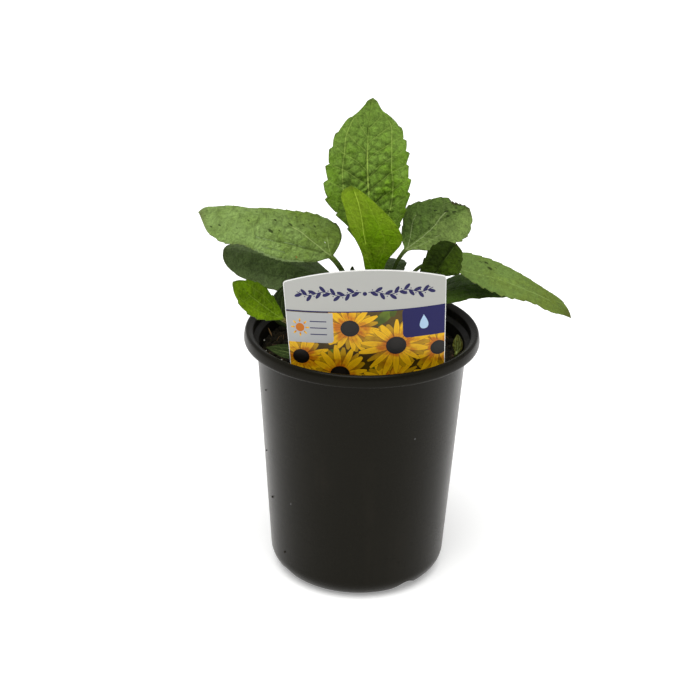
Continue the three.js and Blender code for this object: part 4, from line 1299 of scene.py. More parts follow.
def label_mosaic(label):
    """The label's front as flat triangles, the ink of each, and the shading at their corners."""
    regions = label_regions(label)
    points, loops = [], []
    for outline, _, _ in regions:
        loops.append(list(range(len(points), len(points) + len(outline))))
        points.extend(Vector((float(x), float(y))) for x, y in outline)
    half, whole = label.width_top / MM / 2, label.whole / MM
    bends = []
    for x in np.arange(-half + FIRST_BEND, half, BEND_STEP):
        bends.append((len(points), len(points) + 1))
        points.extend([Vector((float(x), -whole - 1)), Vector((float(x), 1))])
    made = geometry.delaunay_2d_cdt(points, bends, loops, 1, 1e-5, True)
    corners, triangles, owners = made[0], made[2], made[5]
    kept, inks, shades = [], [], []
    for triangle, owner in zip(triangles, owners):
        held = set(owner)
        if 0 not in held:
            continue
        printed = 1 in held
        over = [k for k in held if k == 0 or printed and (2 in held or regions[k][1] not in PICTURE_INKS)]
        _, ink, (start, end) = regions[max(over)]
        line = np.array(end) - np.array(start)
        reach = float(line @ line)
        kept.append(list(triangle))
        inks.append(INKS.index(ink))
        shades.extend(float((np.array(corners[k]) - start) @ line) / reach for k in triangle)
    return [tuple(c) for c in corners], kept, inks, shades


def label_plate(label, materials):
    """The bent sheet: its printed front, its plain back and the edge between them."""
    corners, triangles, inks, shades = label_mosaic(label)
    used = sorted({k for triangle in triangles for k in triangle})
    order = {k: i for i, k in enumerate(used)}
    triangles = [[order[k] for k in triangle] for triangle in triangles]
    count, half_thick = len(used), label.thickness / MM / 2
    points = [label_point(label, *corners[k], side) for side in (-half_thick, half_thick) for k in used]
    edges = dict.fromkeys(edge for face in triangles for edge in zip(face, face[1:] + face[:1]))
    rim = [(a, b) for a, b in edges if (b, a) not in edges]
    faces = triangles + [[k + count for k in triangle[::-1]] for triangle in triangles]
    faces += [[b, a, a + count, b + count] for a, b in rim]
    plate = add_piece("label_plate", points, faces, materials, ["label"])
    # The faces round the sheet's edge take the edge's light ink: a painted highlight.
    material_of = inks + [INKS.index("sheet")] * len(inks) + [INKS.index("edge")] * len(rim)
    plate.data.polygons.foreach_set("material_index", material_of)
    plate.data.polygons.foreach_set("use_smooth", [len(face) == 3 for face in faces])
    plate.data.set_sharp_from_angle(angle=SHARP_EDGE)
    unshaded = len(plate.data.loops) - len(shades)
    set_values(plate, "shade", shades + [0] * unshaded, "CORNER")


def print_finish(name, base, other, turn_low, turn_high):
    """Ink on satin plastic, going from one colour to another along its shading line."""
    material, tree, place = new_material(name)
    fine = noise_node(tree, place, 900, 3)
    broad = noise_node(tree, place, 260, 3)
    shade = math_node(tree, "ADD", read(tree, "shade"), step(tree, broad, 0.3, 0.7, -0.22, 0.22))
    ink = mix(tree, step(tree, shade, turn_low, turn_high), base, other)
    ink = mix(tree, step(tree, fine, 0.45, 0.8, 0, 0.16), ink, base)
    rough = step(tree, fine, 0.2, 0.8, SATIN - 0.04, SATIN + 0.08)
    return finish(material, ink, rough, bump(tree, broad, 0.00004, 0.4), Specular_IOR_Level=0.3)


def label_finishes(label):
    """The finish of each ink in their order: its two colours, and where one turns into the other."""
    petal, deep = label.petal, label.petal_deep
    even = lambda ink, factor: (ink, scaled(ink, factor), 0, 1)
    looks = {
        # The unprinted border and the sheet's edge faces, with a painted highlight.
        "edge": even(label.edge, 0.97),
        "sheet": even(label.sheet, 0.97),
        "backdrop": (scaled(label.backdrop, 0.35), label.backdrop, 0, 1.2),
        "sprig": (scaled(label.sprig, 0.45), label.sprig, 0, 1),
        "petal_gap": (scaled(label.petal_gap, 0.5), label.petal_gap, 0, 0.9),
        "petal_rear": (scaled(deep, 0.45), scaled(petal, 0.6), 0.1, 0.9),
        "petal": (deep, petal, 0.1, 0.6),
        "disc": (scaled(label.disc, 0.6), label.disc, 0, 1),
        "disc_middle": even(label.disc, 1.5),
        "ink": even(label.ink, 1.2),
        "panel": even(label.sheet_panel, 0.97),
        "panel_blue": even(label.panel_blue, 1.15),
        "symbol": even(label.symbol, 0.9),
        "petal_fold": (scaled(deep, 0.8), scaled(petal, 0.78), 0.1, 0.6),
    }
    return [print_finish("label_" + ink, *looks[ink]) for ink in INKS]


# Leaves

def by_side(pair, across):
    """The left or the right half's value, for places across a leaf."""
    return np.where(across < 0, pair[0], pair[1])


def full_crinkle(leaf):
    """How strongly a leaf's bulges get painted light, its furrows painted shade and its vein net shows, from
    the height of its bulges.
    """
    return min(1, leaf.quilt / CRINKLED_QUILT)


def leaf_curves(leaf):
    """The control points of the stalk and of the midrib, which meet with one direction."""
    base, middle, tip = (np.array(point, float) for point in (leaf.base, leaf.middle, leaf.tip))
    control = 2 * middle - (base + tip) / 2
    if leaf.planted:
        root, outward = np.array(leaf.planted, float), np.zeros(3)
    else:
        heading, height = leaf.root
        outward = np.array([math.cos(math.radians(heading)), math.sin(math.radians(heading)), 0])
        root = np.array([*CROWN_PLACE, height]) + outward * (crown_radius(height) - SOCKET_DEPTH)
    reach = np.linalg.norm(base - root) / 3
    rise = root + reach * unit(UP + outward * leaf.lean)
    arrive = base - reach * unit(control - base)
    return (root, rise, arrive, base), (base, control, tip)


def blade_frame(leaf, t):
    """Places, directions along and across, and the upward direction on the midrib."""
    place, along = bezier(leaf_curves(leaf)[1], t)
    t = np.asarray(t)[..., None]
    face = (1 - t) * unit(np.array(leaf.face, float)) + t * unit(np.array(leaf.face_tip, float))
    side = unit(np.cross(along, face))
    return place, along, side, np.cross(side, along)


def through(knots, t):
    """A smooth curve through a list of places and heights."""
    x, y = np.array(knots, float).T
    slopes = np.gradient(y, x)
    k = np.clip(np.searchsorted(x, t, side="right") - 1, 0, len(x) - 2)
    gap = x[k + 1] - x[k]
    f = (t - x[k]) / gap
    start, end = (1 + 2 * f) * (1 - f) ** 2 * y[k], f * f * (3 - 2 * f) * y[k + 1]
    return start + end + gap * f * (1 - f) * ((1 - f) * slopes[k] - f * slopes[k + 1])


def width_share(leaf, t, which):
    """One half's width as a share of its widest, from the outline's points or from how full it is."""
    knots = (leaf.left_edge, leaf.right_edge)[which]
    if knots:
        return np.clip(through(knots, t) / leaf.half_width[which], 0, 2)
    widest, bare = leaf.widest[which], leaf.base_share[which]
    beyond = np.clip((t - widest) / (1 - widest), 0, 1)
    tip = np.cos(np.pi / 2 * beyond) ** leaf.tip_full[which]
    base = bare + (1 - bare) * np.sin(np.pi / 2 * np.clip(t / widest, 0, 1)) ** leaf.base_full[which]
    return np.where(t >= widest, tip, base)


def half_widths(leaf, t, across):
    """The blade's half width, in which the stalk's end is taken up softly."""
    shares = np.where(across < 0, width_share(leaf, t, 0), width_share(leaf, t, 1))
    start = leaf.stalk * np.clip(1 - t / STALK_END, 0, 1)
    return np.maximum(np.hypot(by_side(leaf.half_width, across) * shares, start), TIP_HALF_WIDTH)


def tooth_phase(leaf, t, across):
    """How many teeth lie between the blade's start and a place on the margin."""
    return t * leaf.teeth + by_side(leaf.tooth_shift, across)


def tooth_height(leaf, t, across):
    """The margin's sawtooth, which climbs slowly to each tooth's tip and drops behind it."""
    if not leaf.teeth:
        return 0 * t
    phase = tooth_phase(leaf, t, across) % 1
    return np.minimum(np.clip(phase / TOOTH_CLIMB, 0, 1), np.clip((1 - phase) / TOOTH_DROP, 0, 1))


def torn_away(leaf, t, across, half):
    """What the torn left margin has lost, as a share of the half width."""
    start, size = leaf.torn
    ragged = 0.8 + 0.5 * soft_noise(t * 46, 0 * t, 1, 3) + 0.6 * soft_noise(t * 95, 0 * t, 1, 4)
    lost = size * ragged * (1 - t) / (1 - start) * smooth(t, start, start + 0.006) / np.maximum(half, 1)
    return np.where(across < 0, np.clip(lost, 0, 0.45) * np.abs(across), 0)


def bite(leaf, t, across, half, draw):
    """How much of the half width the notches between the teeth and the torn part take away."""
    if not leaf.teeth:
        return 0 * t * across
    uneven = draw.uniform(0.6, 1.4, (2, leaf.teeth + 2))
    index = np.clip(tooth_phase(leaf, t, across).astype(int), 0, leaf.teeth + 1)
    depth = leaf.tooth_depth * by_side(uneven[:, index], across)
    ends = np.clip(4 * t, 0, 1) * (1 - smooth(t, 0.9, 1))
    outer = np.clip((np.abs(across) - 0.6) / 0.4, 0, 1) ** 2
    cut = depth * (1 - tooth_height(leaf, t, across)) * ends * outer
    return cut + torn_away(leaf, t, across, half) if leaf.torn else cut


def blade_middle(leaf, t, across, draw):
    """The middle surface of a blade, and its half widths."""
    skew = TOOTH_SKEW / leaf.teeth * np.sin(np.pi * t) if leaf.teeth else 0
    place, _, side, up = blade_frame(leaf, np.clip(t + skew * across, 0, 1))
    along = bezier(leaf_curves(leaf)[1], t)[1]
    half = half_widths(leaf, t, across)
    angle = np.radians(by_side(leaf.fold, across) * (1 - t) + by_side(leaf.fold_tip, across) * t)
    out = across * half * (1 - bite(leaf, t, across, half, draw)) * np.cos(angle)
    rise = np.abs(across) * half * np.sin(angle) + by_side(leaf.curl, across) * half * across**2
    beat = by_side(WAVE_COUNT, across) * 2 * np.pi * t + by_side(WAVE_START, across)
    rise = rise + leaf.waves * np.abs(across) ** 1.5 * np.sin(beat) * np.sin(np.pi * t)
    lobe = by_side(leaf.lobe, across) * np.minimum(1, np.sqrt(t / LOBE_START))
    back = lobe * across**2 * np.clip(1 - 2 * t, 0, 1) ** 2
    return place + side * out[..., None] + up * rise[..., None] - along * back[..., None], half


def strong_vein(leaf, t, across, half, reach, seed):
    """How far the strong side vein of each half is, which leaves at the base, and its place across."""
    near_base = np.exp(-np.clip(t - 0.02, 0, 1) / ARC_REACH)
    track = leaf.arc * (1 - near_base) + 0.2 * smooth(t, 0.6, 0.95)
    track = track * (1 + 0.04 * soft_noise(t * 9, np.sign(across) * 3.3, 1, seed + 60))
    slope = leaf.arc / ARC_REACH * near_base * half / reach
    return (np.abs(across) - track) * half / np.sqrt(1 + slope**2), track


def fine_veins(leaf, t, across, half, reach, seed):
    """How many fine side veins lie below a place, and how far apart they run."""
    ahead = leaf.forward * np.abs(across) ** 0.75
    wander = 0.12 * soft_noise(t * leaf.veins, across * 2.5, 1.3, seed + 70)
    count = (t - 0.03 - ahead) * leaf.veins + by_side(VEIN_START, across) + wander
    return count, reach / leaf.veins * half / np.hypot(half, leaf.forward * reach)


def quilting(leaf, t, across, half, reach, veins, seed):
    """How deep a place lies in a furrow between the bulges, and how high on a bulge."""
    strong, track, count, apart = veins
    away, cobbled = np.abs(across), leaf.cobbled
    side_far = np.abs(count - np.round(count)) * apart + FAR * (np.round(count) < 0)
    x, y = t * reach, across * half
    x, y = x + 0.5 * soft_noise(x, y, 1.7, seed + 80), y + 0.5 * soft_noise(x, y, 1.7, seed + 81)
    cells = cell_borders(x, y, leaf.cell, seed)
    nearest = np.minimum(np.minimum(away * half, np.abs(strong)), side_far)
    inner = 1 - 0.7 * smooth(away, track, track + 0.15)
    furrow = np.maximum(0.8 * (1 - cobbled) * bell(side_far, 0.5), 0.8 * cobbled * bell(cells, 0.12))
    furrow = furrow * inner * (1 - away**8)
    dome = (1 - cobbled) * np.clip(nearest / 2.6, 0, 1) ** 0.6
    dome = dome + cobbled * np.clip(cells / 0.7, 0, 1) ** 0.6 - 0.6
    strength = (0.6 + bell(t - 0.4, 0.2)) * smooth(t, 0, 0.08) * (1 - 0.6 * smooth(t, 0.75, 1))
    return furrow, dome * inner * (1 - away**6) * strength


def lit_sides(middle, bulge):
    """How far the sides of a blade's bulges look towards the raking light, from -1 to 1, for the light and
    shade painted on them.
    """
    climb = 0
    for axis in (0, 1):
        along = np.gradient(middle, axis=axis)
        reach = np.linalg.norm(along, axis=-1)
        climb = climb + np.gradient(bulge, axis=axis) * (along @ RAKING) / np.maximum(reach, 0.02) ** 2
    return -np.tanh(2.5 * climb)


def line_distance(x, y, points):
    """How far places are from a bent line."""
    least = np.full(np.shape(x), 10 * FAR)
    for (ax, ay), (bx, by) in zip(points, points[1:]):
        dx, dy = bx - ax, by - ay
        f = np.clip(((x - ax) * dx + (y - ay) * dy) / (dx * dx + dy * dy), 0, 1)
        least = np.minimum(least, np.hypot(x - ax - f * dx, y - ay - f * dy))
    return least


def leaf_marks(leaf, t, across, half, reach):
    """How far the leaf's pale and dark lines are, how much lighter its patches of painted light and
    shade make a place, and how strong its spots are there."""
    x, y = t * reach, across * half
    on_blade = lambda point: (point[0] * reach, point[1] * float(half_widths(leaf, *map(np.array, point))))
    lines, spots = [], []
    for drawn in (leaf.pale_lines, leaf.dark_lines):
        far = FAR + 0 * x
        for width, *points in drawn:
            far = np.minimum(far, line_distance(x, y, [on_blade(point) for point in points]) - width)
        lines.append(far)
    shade = 0 * x
    for along, side, size, amount in leaf.shades:
        cx, cy = on_blade((along, side))
        shade = shade + amount * bell(np.hypot(x - cx, y - cy), size)
    for kind in (leaf.dark_spots, leaf.rust_spots, leaf.white_spots):
        strength = 0 * x
        for along, side, size in kind:
            cx, cy = on_blade((along, side))
            turned_x = (x - cx) * SPOT_TURN[0] + (y - cy) * SPOT_TURN[1]
            turned_y = (y - cy) * SPOT_TURN[0] - (x - cx) * SPOT_TURN[1]
            spot = bell(np.hypot(turned_x, SPOT_STRETCH * turned_y), 0.6 * size)
            strength = np.maximum(strength, spot)
        spots.append(strength)
    return np.stack([*lines, shade], axis=-1), np.stack(spots, axis=-1)


def places_across(columns):
    """Places across a leaf from -1 to 1, closer near the midrib, and a last pair on the margins."""
    spread = np.append(np.linspace(0, 1, columns) ** 1.25 * 0.985, 1)
    return np.concatenate([-spread[:0:-1], spread])[None, :]


def places_along(rows):
    """Places along a blade from 0 to 1, closer at both ends."""
    even = np.linspace(0, 1, rows)[:, None]
    return 0.35 * (0.5 - 0.5 * np.cos(np.pi * even**0.9)) + 0.65 * even


def ring_pair(upper, lower):
    """Rings from the upper side, left to right, and then the lower side back."""
    return np.concatenate([upper, lower[:, ::-1]], axis=1)


def blade_heights(leaf, settings, t, across, half, veins, dark_far, bulge):
    """How high a blade's upper and lower side stand over its middle surface."""
    strong, count, apart = veins
    sheet = settings.thickness / MM * (1 - 0.55 * np.abs(across) ** 10)
    rib = (MIDRIB_THICKNESS - sheet) * (1 - t) ** 0.8 * bell(np.abs(across) * half, 1)
    rib_up = 0.5 * rib * (1 - smooth(t, 0, 0.12))
    relief = settings.quilting * leaf.quilt * bulge
    fine_far = np.abs(count - np.round(count)) * apart
    cuts = bell(across * half, 0.5) + 0.45 * bell(strong, 0.4) + 0.3 * bell(fine_far, 0.35)
    cuts = cuts + 1.6 * bell(np.clip(dark_far, 0, FAR), 0.6)
    groove = settings.groove / MM * smooth(t, 0.05, 0.2) * cuts
    upper = sheet / 2 + rib_up + relief - groove
    lower = -sheet / 2 - (rib - rib_up) + relief - 0.3 * bell(strong, 0.4) - 0.18 * bell(fine_far, 0.35)
    return upper, lower


def veins_shown(leaf, t, across, count):
    """How much the midrib, the strong side veins and the fine ones show, which fade to the tip."""
    midrib, strong, fine = leaf.pale
    fades = 1 - smooth(t, 0.8, 0.95)
    fine = fine * fades * (1 - 0.6 * np.abs(across) ** 2) * smooth(count, -0.5, -0.3)
    return np.stack([midrib * (1 - 0.85 * smooth(t, 0.55, 0.8)), strong * fades, fine], axis=-1)


def browned_margin(leaf, t, across):
    """How browned a blade is: a little at its margin, more on the teeth's tips and where it is torn."""
    margin = smooth(np.abs(across), 0.93, 1) * (0.25 + 0.75 * tooth_height(leaf, t, across) ** 4)
    margin = np.maximum(margin, 0.7 * smooth(t, 0.93, 1))
    if leaf.torn:
        start = leaf.torn[0]
        ragged = smooth(t, start - 0.01, start) * smooth(-across, 0.5, 0.85)
        margin = np.maximum(margin, ragged * (1.1 + 0.5 * soft_noise(t * 60, across * 9, 1, 5)))
    return margin


def blade_rings(leaf, settings, rows, columns, seed):
    """Rings round the blade from its start to its tip, and the values its material reads."""
    t, across = np.broadcast_arrays(places_along(rows), places_across(columns))
    middle, half = blade_middle(leaf, t, across, np.random.default_rng(seed))
    reach = np.linalg.norm(np.diff(middle[:, columns], axis=0), axis=1).sum()
    strong, track = strong_vein(leaf, t, across, half, reach, seed)
    count, apart = fine_veins(leaf, t, across, half, reach, seed)
    furrow, bulge = quilting(leaf, t, across, half, reach, (strong, track, count, apart), seed)
    lines, spots = leaf_marks(leaf, t, across, half, reach)
    # Bulge sides that face the raking light are painted lighter and the others darker, through the shade.
    lines[..., 2] += (0.15 * leaf.quilt + 0.09 * leaf.crumple) * lit_sides(middle, bulge)
    normal = unit(np.cross(np.gradient(middle, axis=1), np.gradient(middle, axis=0)))
    heights = blade_heights(leaf, settings, t, across, half, (strong, count, apart), lines[..., 1], bulge)
    rings = [middle + normal * height[..., None] for height in heights]
    tone, along, sideways = leaf.tone
    values = {
        "veins": np.stack([strong, count, apart], axis=-1), "shown": veins_shown(leaf, t, across, count),
        "lines": lines, "spots": spots, "furrow": furrow, "bulge": bulge,
        "tone": np.clip(tone + along * t + sideways * across, 0, 1),
        "stalk": 0.5 * (1 - smooth(t, 0, 0.05)), "margin": browned_margin(leaf, t, across),
        "place": np.stack([t * reach, across * half, np.full(t.shape, seed * LEAF_APART)], axis=-1),
    }
    values = {key: ring_pair(value, value) for key, value in values.items()}
    return ring_pair(*rings), {**values, "under": ring_pair(0 * t, 0 * t + 1)}


def stalk_frame(leaf, rows):
    """Places, directions across and upward directions on the stalk, turned to meet the blade's."""
    t = np.linspace(0, 1, rows, endpoint=False)
    place, along = bezier(leaf_curves(leaf)[0], t)
    side = blade_frame(leaf, 0)[2]
    sides = []
    for direction in along[::-1]:
        side = unit(side - (side @ direction) * direction)
        sides.append(side)
    sides = np.array(sides[::-1])
    return t[:, None], place, sides, np.cross(sides, along)


def stalk_rings(leaf, rows, columns, seed):
    """Rings round the stalk, which has a groove above, and its values that aren't nought."""
    t, place, sides, up = stalk_frame(leaf, rows)
    u = places_across(columns)
    wide = [max(leaf.stalk, width * bare) for width, bare in zip(leaf.half_width, leaf.base_share)]
    half = leaf.stalk + (by_side(wide, u) - leaf.stalk) * t**3
    thick = 2 * leaf.stalk * (1 - t) + MIDRIB_THICKNESS * t
    flat = smooth(t, 0.6, 1)
    out = half * ((1 - flat) * np.sin(np.pi / 2 * u) + flat * u)
    edge = 0.2 * thick
    round_depth, flat_depth = 0.06 + thick * np.cos(np.pi / 2 * u), edge + (thick - edge) * (1 - u**2)
    depth = 0.5 * ((1 - flat) * round_depth + flat * flat_depth)
    groove = 0.3 * thick * bell(u, 0.3) * smooth(t, 0, 0.3) * (1 - flat)
    at = lambda height: place[:, None] + sides[:, None] * out[..., None] + up[:, None] * height[..., None]
    reach = np.linalg.norm(np.diff(place, axis=0), axis=1).sum()
    where = np.stack([(t - 1) * reach + 0 * u, u * half, np.full(out.shape, seed * LEAF_APART)], axis=-1)
    values = {
        "lines": np.zeros((*out.shape, 3)) + (FAR, FAR, 0), "tone": np.full(out.shape, leaf.tone[0]),
        "stalk": 1 - smooth(t, 0.85, 1) * 0.5 + 0 * u, "place": where,
    }
    rings = ring_pair(at(depth - groove), at(-depth))
    return rings, {key: ring_pair(value, value) for key, value in values.items()}


def leaf_size(leaf, settings):
    """Rows along the blade, columns in each half and rows along the stalk, fewer on small leaves."""
    widest = max(leaf.half_width)
    if widest >= LARGE_BLADE:
        return settings.rows, settings.columns, 26
    if widest >= SMALL_BLADE:
        return settings.rows * 3 // 5, settings.columns * 2 // 3, 20
    return settings.rows * 2 // 5, settings.columns // 2, 16


def leaf_piece(leaf, settings, seed):
    """A leaf as one closed piece from its root to its tip, with what its material reads."""
    rows, columns, stalk_rows = leaf_size(leaf, settings)
    stalk, stalk_values = stalk_rings(leaf, stalk_rows, columns, seed)
    blade, blade_values = blade_rings(leaf, settings, rows, columns, seed)
    rings = np.concatenate([stalk, blade])
    count, size = rings.shape[:2]
    faces = grid_faces(count, size).tolist()
    last = (count - 1) * size
    for j in range(size // 2 - 1):
        below = size - 1 - j
        faces.append([j, below, below - 1, j + 1])
        faces.append([last + j, last + j + 1, last + below - 1, last + below])
    name = leaf.name
    piece = add_piece(
        "blade_" + name, rings.reshape(-1, 3), faces, [leaf_tissue(leaf, settings)],
        [name if leaf.planted else "leaf_" + name],
    )
    for key, value in blade_values.items():
        nothing = np.zeros((stalk_rows, *value.shape[1:]))
        joined = np.concatenate([stalk_values.get(key, nothing), value])
        set_values(piece, key, joined.reshape(-1, 3) if joined.ndim == 3 else joined.ravel())


def dimmed(tree, base, amount, dark, light):
    """A colour made darker or lighter, from an amount between 0 and 1."""
    grey = mix(tree, amount, (dark,) * 3, (light,) * 3)
    return mix(tree, 1, base, grey, "MULTIPLY")


def tissue_greens(tree, leaf, place, patch, fine, shade):
    """The blade's two greens with mottling and painted light and shade: the leaf's shades, the lit sides of
    its bulges, an emboss of its crumpled skin, lighter bulges and darker furrows.
    """
    green, other = linear(*leaf.colour), linear(*leaf.other)
    crinkled, crumpled = full_crinkle(leaf), leaf.crumple
    cloud = noise_node(tree, place, 0.11, 4, 0.6)
    # A shifted copy of the mottling noise is taken from it, which paints light on one side of each crumple
    # and shade on the other.
    beside = node(tree, "ShaderNodeMapping", {"Vector": place, "Location": PATCH_SHIFT}).outputs[0]
    painted_emboss = math_node(tree, "SUBTRACT", patch, noise_node(tree, beside, *PATCH_NOISE))
    tone = math_node(tree, "ADD", read(tree, "tone"), step(tree, cloud, 0.3, 0.7, -0.35, 0.35))
    base = mix(tree, tone, green, other)
    # The leaf's shades and the lit sides of its bulges make it darker or lighter: painted light and shade.
    base = dimmed(tree, base, math_node(tree, "MULTIPLY_ADD", shade, 0.5, 0.5), 0, 2)
    # The mottling noise also raises the skin's bump, so its lighter high places and darker low places are
    # painted light and shade. The bulges get painted light and the ground between them painted shade.
    mottling_and_painted_shade = (
        (patch, 0.3, 0.7, 0.9 - 0.15 * crumpled, 1.08 + 0.14 * crumpled),
        (painted_emboss, -0.12, 0.12, 1 - 0.16 * crumpled, 1 + 0.16 * crumpled), (fine, 0.3, 0.7, 0.91, 1.09),
        (read(tree, "bulge"), -0.4, 0.35, 1 - 0.24 * crinkled, 1 + 0.15 * crinkled),
    )
    for value, low, high, dark, light in mottling_and_painted_shade:
        base = dimmed(tree, base, step(tree, value, low, high), dark, light)
    # Painted shade in the furrows between the bulges.
    return mix(tree, times(tree, read(tree, "furrow"), 0.45 * crinkled), base, scaled(other, 0.3))


def tissue_veins(tree, leaf, place, net, base):
    """The net of the finest veins, and the midrib, strong side veins and fine side veins over it."""
    vein = linear(*leaf.vein)
    thread = step(tree, net, 0.09, 0.02)
    base = mix(tree, times(tree, thread, 0.04 + 0.06 * full_crinkle(leaf)), base, vein)
    strong, count, apart = parts_of(tree, read(tree, "veins", "Vector"))
    shown = parts_of(tree, read(tree, "shown", "Vector"))
    midrib = parts_of(tree, place)[1]
    fine_far = times(tree, math_node(tree, "PINGPONG", count, 0.5), apart)
    for amount, far, width in zip(shown, (midrib, strong, fine_far), VEIN_WIDTHS):
        line = step(tree, math_node(tree, "ABSOLUTE", far), width - 0.12, width + 0.12, 1, 0)
        base = mix(tree, times(tree, line, amount), base, vein)
    return base


def tissue_marks(tree, leaf, settings, place, drawn, base):
    """Painted shade in pits and along the dark lines, the leaf's pale lines, its spots, its browned margin
    and its underside.
    """
    other = linear(*leaf.other)
    dark = scaled(other, 0.3)
    # Dark dashes in the crumpled skin: painted shade in its pits.
    pits = noise_node(tree, stretched(tree, place, (0.34, 0.8, 1)), 1, 3, 0.6)
    base = mix(tree, step(tree, pits, 0.6, 0.68, 0, 0.5 * leaf.crumple), base, dark)
    pale_far, dark_far, _ = drawn
    base = mix(tree, step(tree, pale_far, -0.1, 0.16, 0.8, 0), base, linear(*leaf.vein))
    # The dark lines darken their creases: painted shade.
    base = mix(tree, step(tree, dark_far, -0.1, 0.5, 0.5, 0), base, dark)
    # The dark spots are dark flecks and painted shade in small pits. The others are rust and white specks.
    colours = (scaled(other, 0.15), settings.rust, linear(*PALE_SPOT))
    spots = parts_of(tree, read(tree, "spots", "Vector"))
    for spot, colour_of, cover in zip(spots, colours, SPOT_COVER):
        base = mix(tree, step(tree, spot, 0.2, 0.7, 0, cover), base, colour_of)
    base = mix(tree, times(tree, read(tree, "margin"), 0.6), base, linear(*leaf.edge))
    pale_side = mix(tree, 0.45, settings.under, linear(*leaf.colour))
    return mix(tree, times(tree, read(tree, "under"), 0.85), base, pale_side)


def stalk_skin(tree, leaf, settings, place, fine):
    """The stalk's colour, which turns from its own near the blade to a redder one near the soil."""
    below = parts_of(tree, place)[0]
    top = linear(*leaf.stalk_top) if leaf.stalk_top else settings.stalk
    stalk = mix(tree, step(tree, below, *STALK_TURN), top, settings.stalk_foot)
    return dimmed(tree, stalk, step(tree, fine, 0.3, 0.7), 0.7, 1.2)


def leaf_tissue(leaf, settings):
    """A leaf's skin, which reads its veins, bulges, marks and stalk from the mesh."""
    material, tree, _ = new_material("leaf_tissue_" + leaf.name)
    place = read(tree, "place", "Vector")
    patch = noise_node(tree, place, *PATCH_NOISE)
    fine = noise_node(tree, place, 1.3, 4, 0.7)
    cells = {"Vector": place, "Scale": 0.62, "Randomness": 0.9}
    net = node(tree, "ShaderNodeTexVoronoi", cells, feature="DISTANCE_TO_EDGE").outputs["Distance"]
    drawn = parts_of(tree, read(tree, "lines", "Vector"))
    base = tissue_greens(tree, leaf, place, patch, fine, drawn[2])
    base = tissue_veins(tree, leaf, place, net, base)
    base = tissue_marks(tree, leaf, settings, place, drawn, base)
    base = mix(tree, read(tree, "stalk"), base, stalk_skin(tree, leaf, settings, place, fine))
    relief = bump(tree, patch, 0.001 + 0.003 * leaf.crumple, 0.6)
    relief = bump(tree, net, 0.0003, 0.5, relief)
    relief = bump(tree, fine, 0.0006, 0.6, relief)
    rough = step(tree, fine, 0.2, 0.8, 0.5, 0.66)
    return finish(material, base, rough, relief, Specular_IOR_Level=leaf.gloss)


# Stage

def floor_disc(stage):
    shape = bmesh.new()
    bmesh.ops.create_circle(shape, cap_ends=True, radius=stage.floor_radius, segments=96)
    mesh = bpy.data.meshes.new("floor")
    shape.to_mesh(mesh)
    shape.free()
    material, tree, place = new_material("floor_paper")
    grain = step(tree, noise_node(tree, place, 4, 3), 0.3, 0.7, 0, 0.3)
    base = mix(tree, grain, stage.floor, scaled(stage.floor, 0.985))
    glow = {"Emission_Color": WHITE, "Emission_Strength": stage.glow}
    mesh.materials.append(finish(material, base, 0.9, Specular_IOR_Level=0.1, **glow))
    new_object("floor", mesh)


def top_light(stage):
    """A wide, even light from above that leans a little to the left and the front."""
    data = bpy.data.lights.new("top_light", "SUN")
    data.energy, data.angle = stage.top, stage.top_spread
    lamp = new_object("top_light", data)
    lamp.location = LAMP_PLACE
    lamp.rotation_mode = "QUATERNION"
    lamp.rotation_quaternion = Vector(LAMP_VIEW).to_track_quat("-Z", "Y")


def surroundings(stage):
    """A white studio that is darker on the camera's side."""
    world = bpy.data.worlds.new("studio")
    bpy.context.scene.world = world
    world.use_nodes = True
    tree = world.node_tree
    tree.nodes.clear()
    direction = node(tree, "ShaderNodeTexCoord").outputs["Generated"]
    _, depth, height = parts_of(tree, direction)
    behind = math_node(tree, "ADD", depth, times(tree, height, 0.8))
    strength = step(tree, behind, -0.75, 0.2, stage.front * stage.sky, stage.sky)
    background = node(tree, "ShaderNodeBackground", {"Color": WHITE, "Strength": strength})
    node(tree, "ShaderNodeOutputWorld", {"Surface": background.outputs[0]})


def photo_camera(stage):
    """The camera where the photograph was taken from."""
    data = bpy.data.cameras.new("camera")
    data.lens, data.sensor_width, data.sensor_fit = stage.lens, SENSOR_WIDTH, "HORIZONTAL"
    data.clip_start, data.clip_end = SEEN_FROM, SEEN_TO
    camera = new_object("camera", data)
    view = Vector(stage.camera_aim) - Vector(stage.camera_place)
    camera.location = stage.camera_place
    camera.rotation_mode = "QUATERNION"
    camera.rotation_quaternion = view.to_track_quat("-Z", "Y") @ Quaternion((0, 0, 1), stage.camera_roll)
    bpy.context.scene.camera = camera


# Operators

class PLANT_OT_make_pot(bpy.types.Operator):
    """Make the nursery pot with its rolled rim, rounded heel and drain notches"""

    bl_idname = "plant.make_pot"
    bl_label = "Make pot"

    def execute(self, context):
        pot = context.scene.plant_pot
        points, faces = turned(pot_profile(pot), pot.sides)
        materials = [pot_plastic(pot), pot_inside(pot)]
        body = add_piece("nursery_pot", points / MM, faces, materials, ["pot"])
        cut_notches(pot, body)
        dull_inside(pot, body)
        return {"FINISHED"}


class PLANT_OT_make_soil(bpy.types.Operator):
    """Make the body of soil and the loose crumbs, bark, fibres and white grains on it"""

    bl_idname = "plant.make_soil"
    bl_label = "Make soil"

    def execute(self, context):
        soil, pot, label = context.scene.plant_soil, context.scene.plant_pot, context.scene.plant_label
        peat = earth("peat", soil.dark, soil.brown, 700)
        soil_bed(soil, pot, peat)
        bark = earth("bark", scaled(soil.bark, 0.3), soil.bark, 500, 0.85)
        perlite = earth("perlite", scaled(soil.grain, 0.7), soil.grain, 900, 0.8)
        fibre = earth("fibre", scaled(soil.fibre, 0.3), soil.fibre, 300, 0.8)
        soil_litter(soil, pot, label, [peat, bark, perlite, fibre])
        return {"FINISHED"}


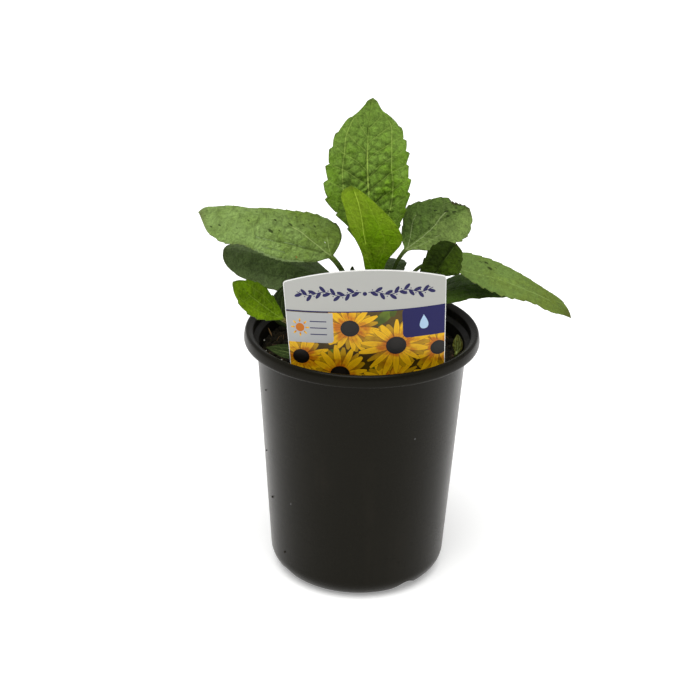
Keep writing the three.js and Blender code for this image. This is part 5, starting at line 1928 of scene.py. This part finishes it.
class PLANT_OT_make_crown(bpy.types.Operator):
    """Make the short stem that the leaf stalks clasp"""

    bl_idname = "plant.make_crown"
    bl_label = "Make crown"

    def execute(self, context):
        crown_stem(crown_tissue(context.scene.plant_leaves))
        return {"FINISHED"}


class PLANT_OT_make_label(bpy.types.Operator):
    """Make the bent plant label with its printed front"""

    bl_idname = "plant.make_label"
    bl_label = "Make plant label"

    def execute(self, context):
        label = context.scene.plant_label
        label_plate(label, label_finishes(label))
        return {"FINISHED"}


class PLANT_OT_make_leaves(bpy.types.Operator):
    """Make the leaves with their stalks, veins, quilting and toothed margins"""

    bl_idname = "plant.make_leaves"
    bl_label = "Make leaves"

    def execute(self, context):
        for seed, leaf in enumerate(LEAVES, 1):
            leaf_piece(leaf, context.scene.plant_leaves, seed)
        return {"FINISHED"}


class PLANT_OT_make_stage(bpy.types.Operator):
    """Make the floor, the studio light and the camera"""

    bl_idname = "plant.make_stage"
    bl_label = "Make stage"

    def execute(self, context):
        stage = context.scene.plant_stage
        context.scene.view_settings.view_transform = "Standard"
        floor_disc(stage)
        surroundings(stage)
        top_light(stage)
        photo_camera(stage)
        return {"FINISHED"}


class PLANT_PT_panel(bpy.types.Panel):
    """Lists the plant's pieces and their settings"""

    bl_idname = "PLANT_PT_panel"
    bl_label = "Potted black-eyed susan"
    bl_space_type = "VIEW_3D"
    bl_region_type = "UI"
    bl_category = "Plant"

    def draw(self, context):
        for operator, group in PIECES:
            box = self.layout.box()
            box.operator(operator.bl_idname)
            settings = getattr(context.scene, group)
            for name in settings.bl_rna.properties.keys():
                if name not in ("rna_type", "name"):
                    box.prop(settings, name)


PIECES = (
    (PLANT_OT_make_pot, "plant_pot"), (PLANT_OT_make_soil, "plant_soil"),
    (PLANT_OT_make_crown, "plant_leaves"), (PLANT_OT_make_label, "plant_label"),
    (PLANT_OT_make_leaves, "plant_leaves"), (PLANT_OT_make_stage, "plant_stage"),
)
GROUPS = {
    "plant_pot": PotSettings, "plant_soil": SoilSettings, "plant_label": LabelSettings,
    "plant_leaves": LeafSettings, "plant_stage": StageSettings,
}
CLASSES = (*GROUPS.values(), *[operator for operator, _ in PIECES], PLANT_PT_panel)


def register():
    for made in CLASSES:
        bpy.utils.register_class(made)
    for name, group in GROUPS.items():
        setattr(bpy.types.Scene, name, PointerProperty(type=group))


def unregister():
    for name in GROUPS:
        delattr(bpy.types.Scene, name)
    for made in reversed(CLASSES):
        bpy.utils.unregister_class(made)


def main():
    register()
    bpy.ops.plant.make_stage()
    bpy.ops.plant.make_pot()
    bpy.ops.plant.make_soil()
    bpy.ops.plant.make_crown()
    bpy.ops.plant.make_label()
    bpy.ops.plant.make_leaves()


if __name__ == "__main__":
    main()
